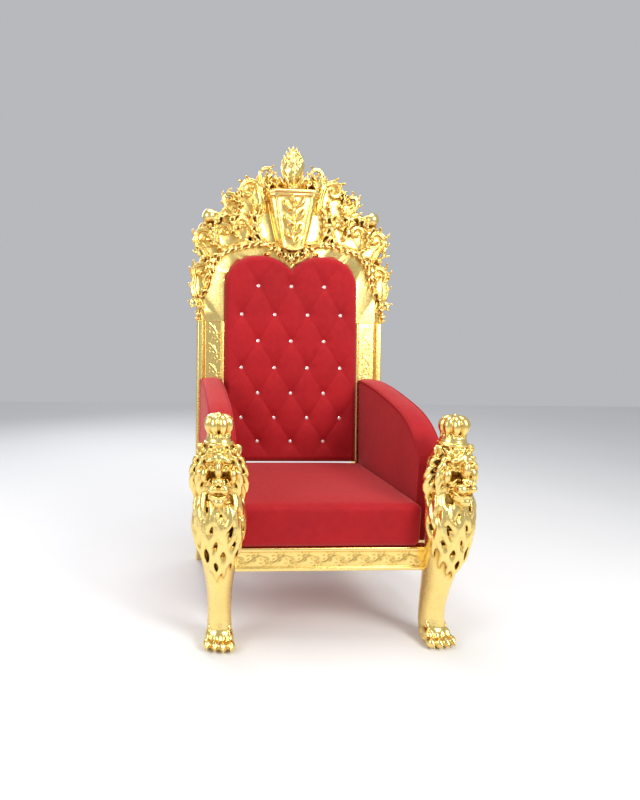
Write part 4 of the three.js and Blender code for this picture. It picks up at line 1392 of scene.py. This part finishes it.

# %% [markdown]
# ## Seat
#
# The seat is a tight, thick block of foam under velvet. Its top is crowned, so that it doesn't look sunken
# when new, its front edge is softly rounded, and the front face is puffed out a little.


# %% The seat
def padded_block(low, high, round_edge, crown, puff, cuts):
    """A block from a cube: cut into cells, its edges rounded, its top crowned and its front face puffed."""
    bpy.ops.object.select_all(action="DESELECT")
    bpy.ops.mesh.primitive_cube_add(size=2, location=(0, 0, 0))
    block = bpy.context.object
    bpy.ops.object.mode_set(mode="EDIT")
    bpy.ops.mesh.select_all(action="SELECT")
    bpy.ops.mesh.subdivide(number_cuts=cuts)
    bpy.ops.object.mode_set(mode="OBJECT")
    low, high = Vector(low), Vector(high)
    middle, half = (low + high) / 2, (high - low) / 2
    core = Vector([max(h - round_edge, 0) for h in half])
    for vertex in block.data.vertices:
        unit = vertex.co.copy()
        eased = Vector([math.sin(c * math.pi / 2) for c in unit])
        place = Vector([e * h for e, h in zip(eased, half)])
        inner = Vector([max(-c, min(c, p)) for p, c in zip(place, core)])
        off = place - inner
        if off.length > 1e-6:
            place = inner + off.normalized() * round_edge
        flat = [1 - abs(c) ** 4 for c in eased]
        if unit.z > 0.99:
            place.z += crown * flat[0] * flat[1]
        if unit.y < -0.99:
            place.y -= puff * flat[0] * flat[2]
        vertex.co = (middle + place) * MM
    return block


SEAT_TOP, SEAT_BACK, SEAT_HALF = 473, 593, 311
seat = padded_block((-SEAT_HALF, -6, RAIL_TOP + 0.4), (SEAT_HALF, SEAT_BACK, SEAT_TOP), 24, 11, 3, 63)
for vertex in seat.data.vertices:  # the seat narrows a little towards the back
    vertex.co.x *= 1 - 0.045 * max(0.0, vertex.co.y / (SEAT_BACK * MM))
seat.data.transform(Matrix.Translation((0, PAWS_Y, 0)))
finished(seat, "seat_cushion_velvet", "velvet", red_velvet, "seat_cushion")

# %% [markdown]
# ## Arms
#
# An arm is a padded wall. Seen from the side, its top is nearly level behind and sweeps down in front, behind
# the lion's head. The velvet on top is a separate strip, sewn to the two sides with a piped seam. The wall is
# made by stations along its length, each a rounded upright section.

# %% The arms
ARM_INNER, ARM_WIDE, ARM_SPLAY, ARM_TOP, ARM_FRONT = 300, 86, 0.025, 816, 63


def arm_top_line(count=40):
    """The top of the arm as (y, z), from its front end to the back."""
    rear = curved((ARM_FRONT, 618), (130, 722), (230, 752), (330, 772), count)
    return [*rear, *curved((330, 772), (430, 792), (560, ARM_TOP + 2), (678, ARM_TOP), count), (678, ARM_TOP)]


def arm_rear(z):
    """Where the arm meets the leaning back."""
    return 629 - 4.8 + (z - 465.5) * math.tan(LEAN)


def arm_point(y, z, across):
    """A place in the arm's wall: across runs from -1 inside to 1 outside."""
    x = ARM_INNER + ARM_WIDE * (across + 1) / 2 + ARM_SPLAY * (629 - y)
    return Vector((x, y + PAWS_Y / MM, z))


def arm_wall():
    stations = arm_top_line()
    bottom = RAIL_TOP + 0.4
    verts, around = [], 0
    for index, (y, top) in enumerate(stations):
        share = (y - ARM_FRONT) / (678 - ARM_FRONT)
        ring = []
        for k in range(17):  # up the inside
            ring.append((-1, k / 16 * 0.94))
        ring += [(-1 + 0.012 * 1, 0.965), (-0.93, 0.99), (-0.84, 1.0)]
        ring += [(-0.84 + 1.68 * k / 12, 1.0) for k in range(1, 12)]
        ring += [(0.84, 1.0), (0.93, 0.99), (0.988, 0.965)]
        ring += [(1, 0.94 - k / 16 * 0.94) for k in range(17)]
        around = len(ring)
        for across, rise in ring:
            z = bottom + (top - bottom) * rise
            bulge = math.sin(math.pi * min(1, max(0, rise))) * math.sin(math.pi * min(1, max(0, share)))
            wide = across * (1 + 0.05 * bulge) if abs(across) > 0.98 else across
            crown = 5 * (1 - (across / 0.84) ** 2) if rise == 1.0 and abs(across) < 0.84 else 0
            limit = arm_rear(z)
            at = ARM_FRONT + (limit - ARM_FRONT) * share if index else ARM_FRONT
            verts.append(arm_point(at, z + crown, wide) * MM)
    rows = len(stations)
    faces = [(r * around + k, r * around + (k + 1) % around, (r + 1) * around + (k + 1) % around, (r + 1) * around + k)
             for r in range(rows - 1) for k in range(around)]
    faces += [tuple(range(around)), tuple(range((rows - 1) * around, rows * around))[::-1]]
    mesh = bpy.data.meshes.new("arm")
    mesh.from_pydata(verts, [], faces)
    wall = bpy.data.objects.new("arm", mesh)
    bpy.context.scene.collection.objects.link(wall)
    return outward(wall)


def arm_seam(across, radius=2.6, drop=3.0):
    """Piping along one edge of the arm's top strip."""
    run = []
    for y, top in arm_top_line(14):
        share = (y - ARM_FRONT) / (678 - ARM_FRONT)
        z = top - drop
        run.append((arm_point(ARM_FRONT + (arm_rear(z) - ARM_FRONT) * share, z, across), radius))
    return run


right_arm = arm_wall()
seams = rods([arm_seam(-0.965), arm_seam(0.965)], 2, 3)
right_arm = joined([right_arm, seams], "arm_right_velvet")
left_arm = mirrored(right_arm, "arm_left_velvet")
for arm, name in ((right_arm, "right"), (left_arm, "left")):
    finished(arm, f"arm_{name}_velvet", "velvet", red_velvet, f"arm_{name}", crease=50)

# %% [markdown]
# ## Outside back
#
# The rear of the back is a flat panel of the same velvet, a little puffed, set inside the frame.


# %% The outside back
def rear_panel():
    across, up = 60, 90
    u = np.sin(np.linspace(-1, 1, across) * math.pi / 2 * 0.86) / math.sin(math.pi / 2 * 0.86)
    x = np.repeat(u[None, :] * (PANEL_HALF - 1), up, axis=0)
    top = np.array([top_of_panel(value) - 1 for value in x[0]])
    z = 2 + (top[None, :] - 2) * np.linspace(0, 1, up)[:, None]
    inside = np.clip(edge_distance(x, z) / 30, 0, 1)
    depth = BACK_THICK - 8 + 6 * np.sqrt(1 - (1 - inside) ** 2)
    verts = np.stack([x, depth, z], axis=-1).reshape(-1, 3) * MM
    faces = [(r * across + c, (r + 1) * across + c, (r + 1) * across + c + 1, r * across + c + 1)
             for r in range(up - 1) for c in range(across - 1)]
    mesh = bpy.data.meshes.new("outside_back")
    mesh.from_pydata(verts.tolist(), [], faces)
    panel = bpy.data.objects.new("outside_back", mesh)
    bpy.context.scene.collection.objects.link(panel)
    alone(panel)
    bpy.ops.object.mode_set(mode="EDIT")
    bpy.ops.mesh.select_all(action="DESELECT")
    bpy.ops.mesh.select_non_manifold()
    bpy.ops.mesh.extrude_edges_move(TRANSFORM_OT_translate={"value": (0, -1 * MM, 0)})
    bpy.ops.transform.resize(value=(1, 0, 1), center_override=(0, (PAD_REAR + 1) * MM, 0))
    bpy.ops.mesh.edge_face_add()
    bpy.ops.object.mode_set(mode="OBJECT")
    return outward(panel)


outside = rear_panel()
outside.data.transform(BACK)
finished(outside, "outside_back_velvet", "velvet", red_velvet, "outside_back", crease=50)

# %% Everything that still shows from the frame gets a finish
for name, node in frame["nodes"].items():
    dressed = {"gilding": plain_gold, "velvet": red_velvet, "crystal": crystal}
    kind = next(s["material_slot"] for s in frame["record"]["subparts"] if s["node"] == name)
    node.data.materials.clear()
    node.data.materials.append(dressed[kind])
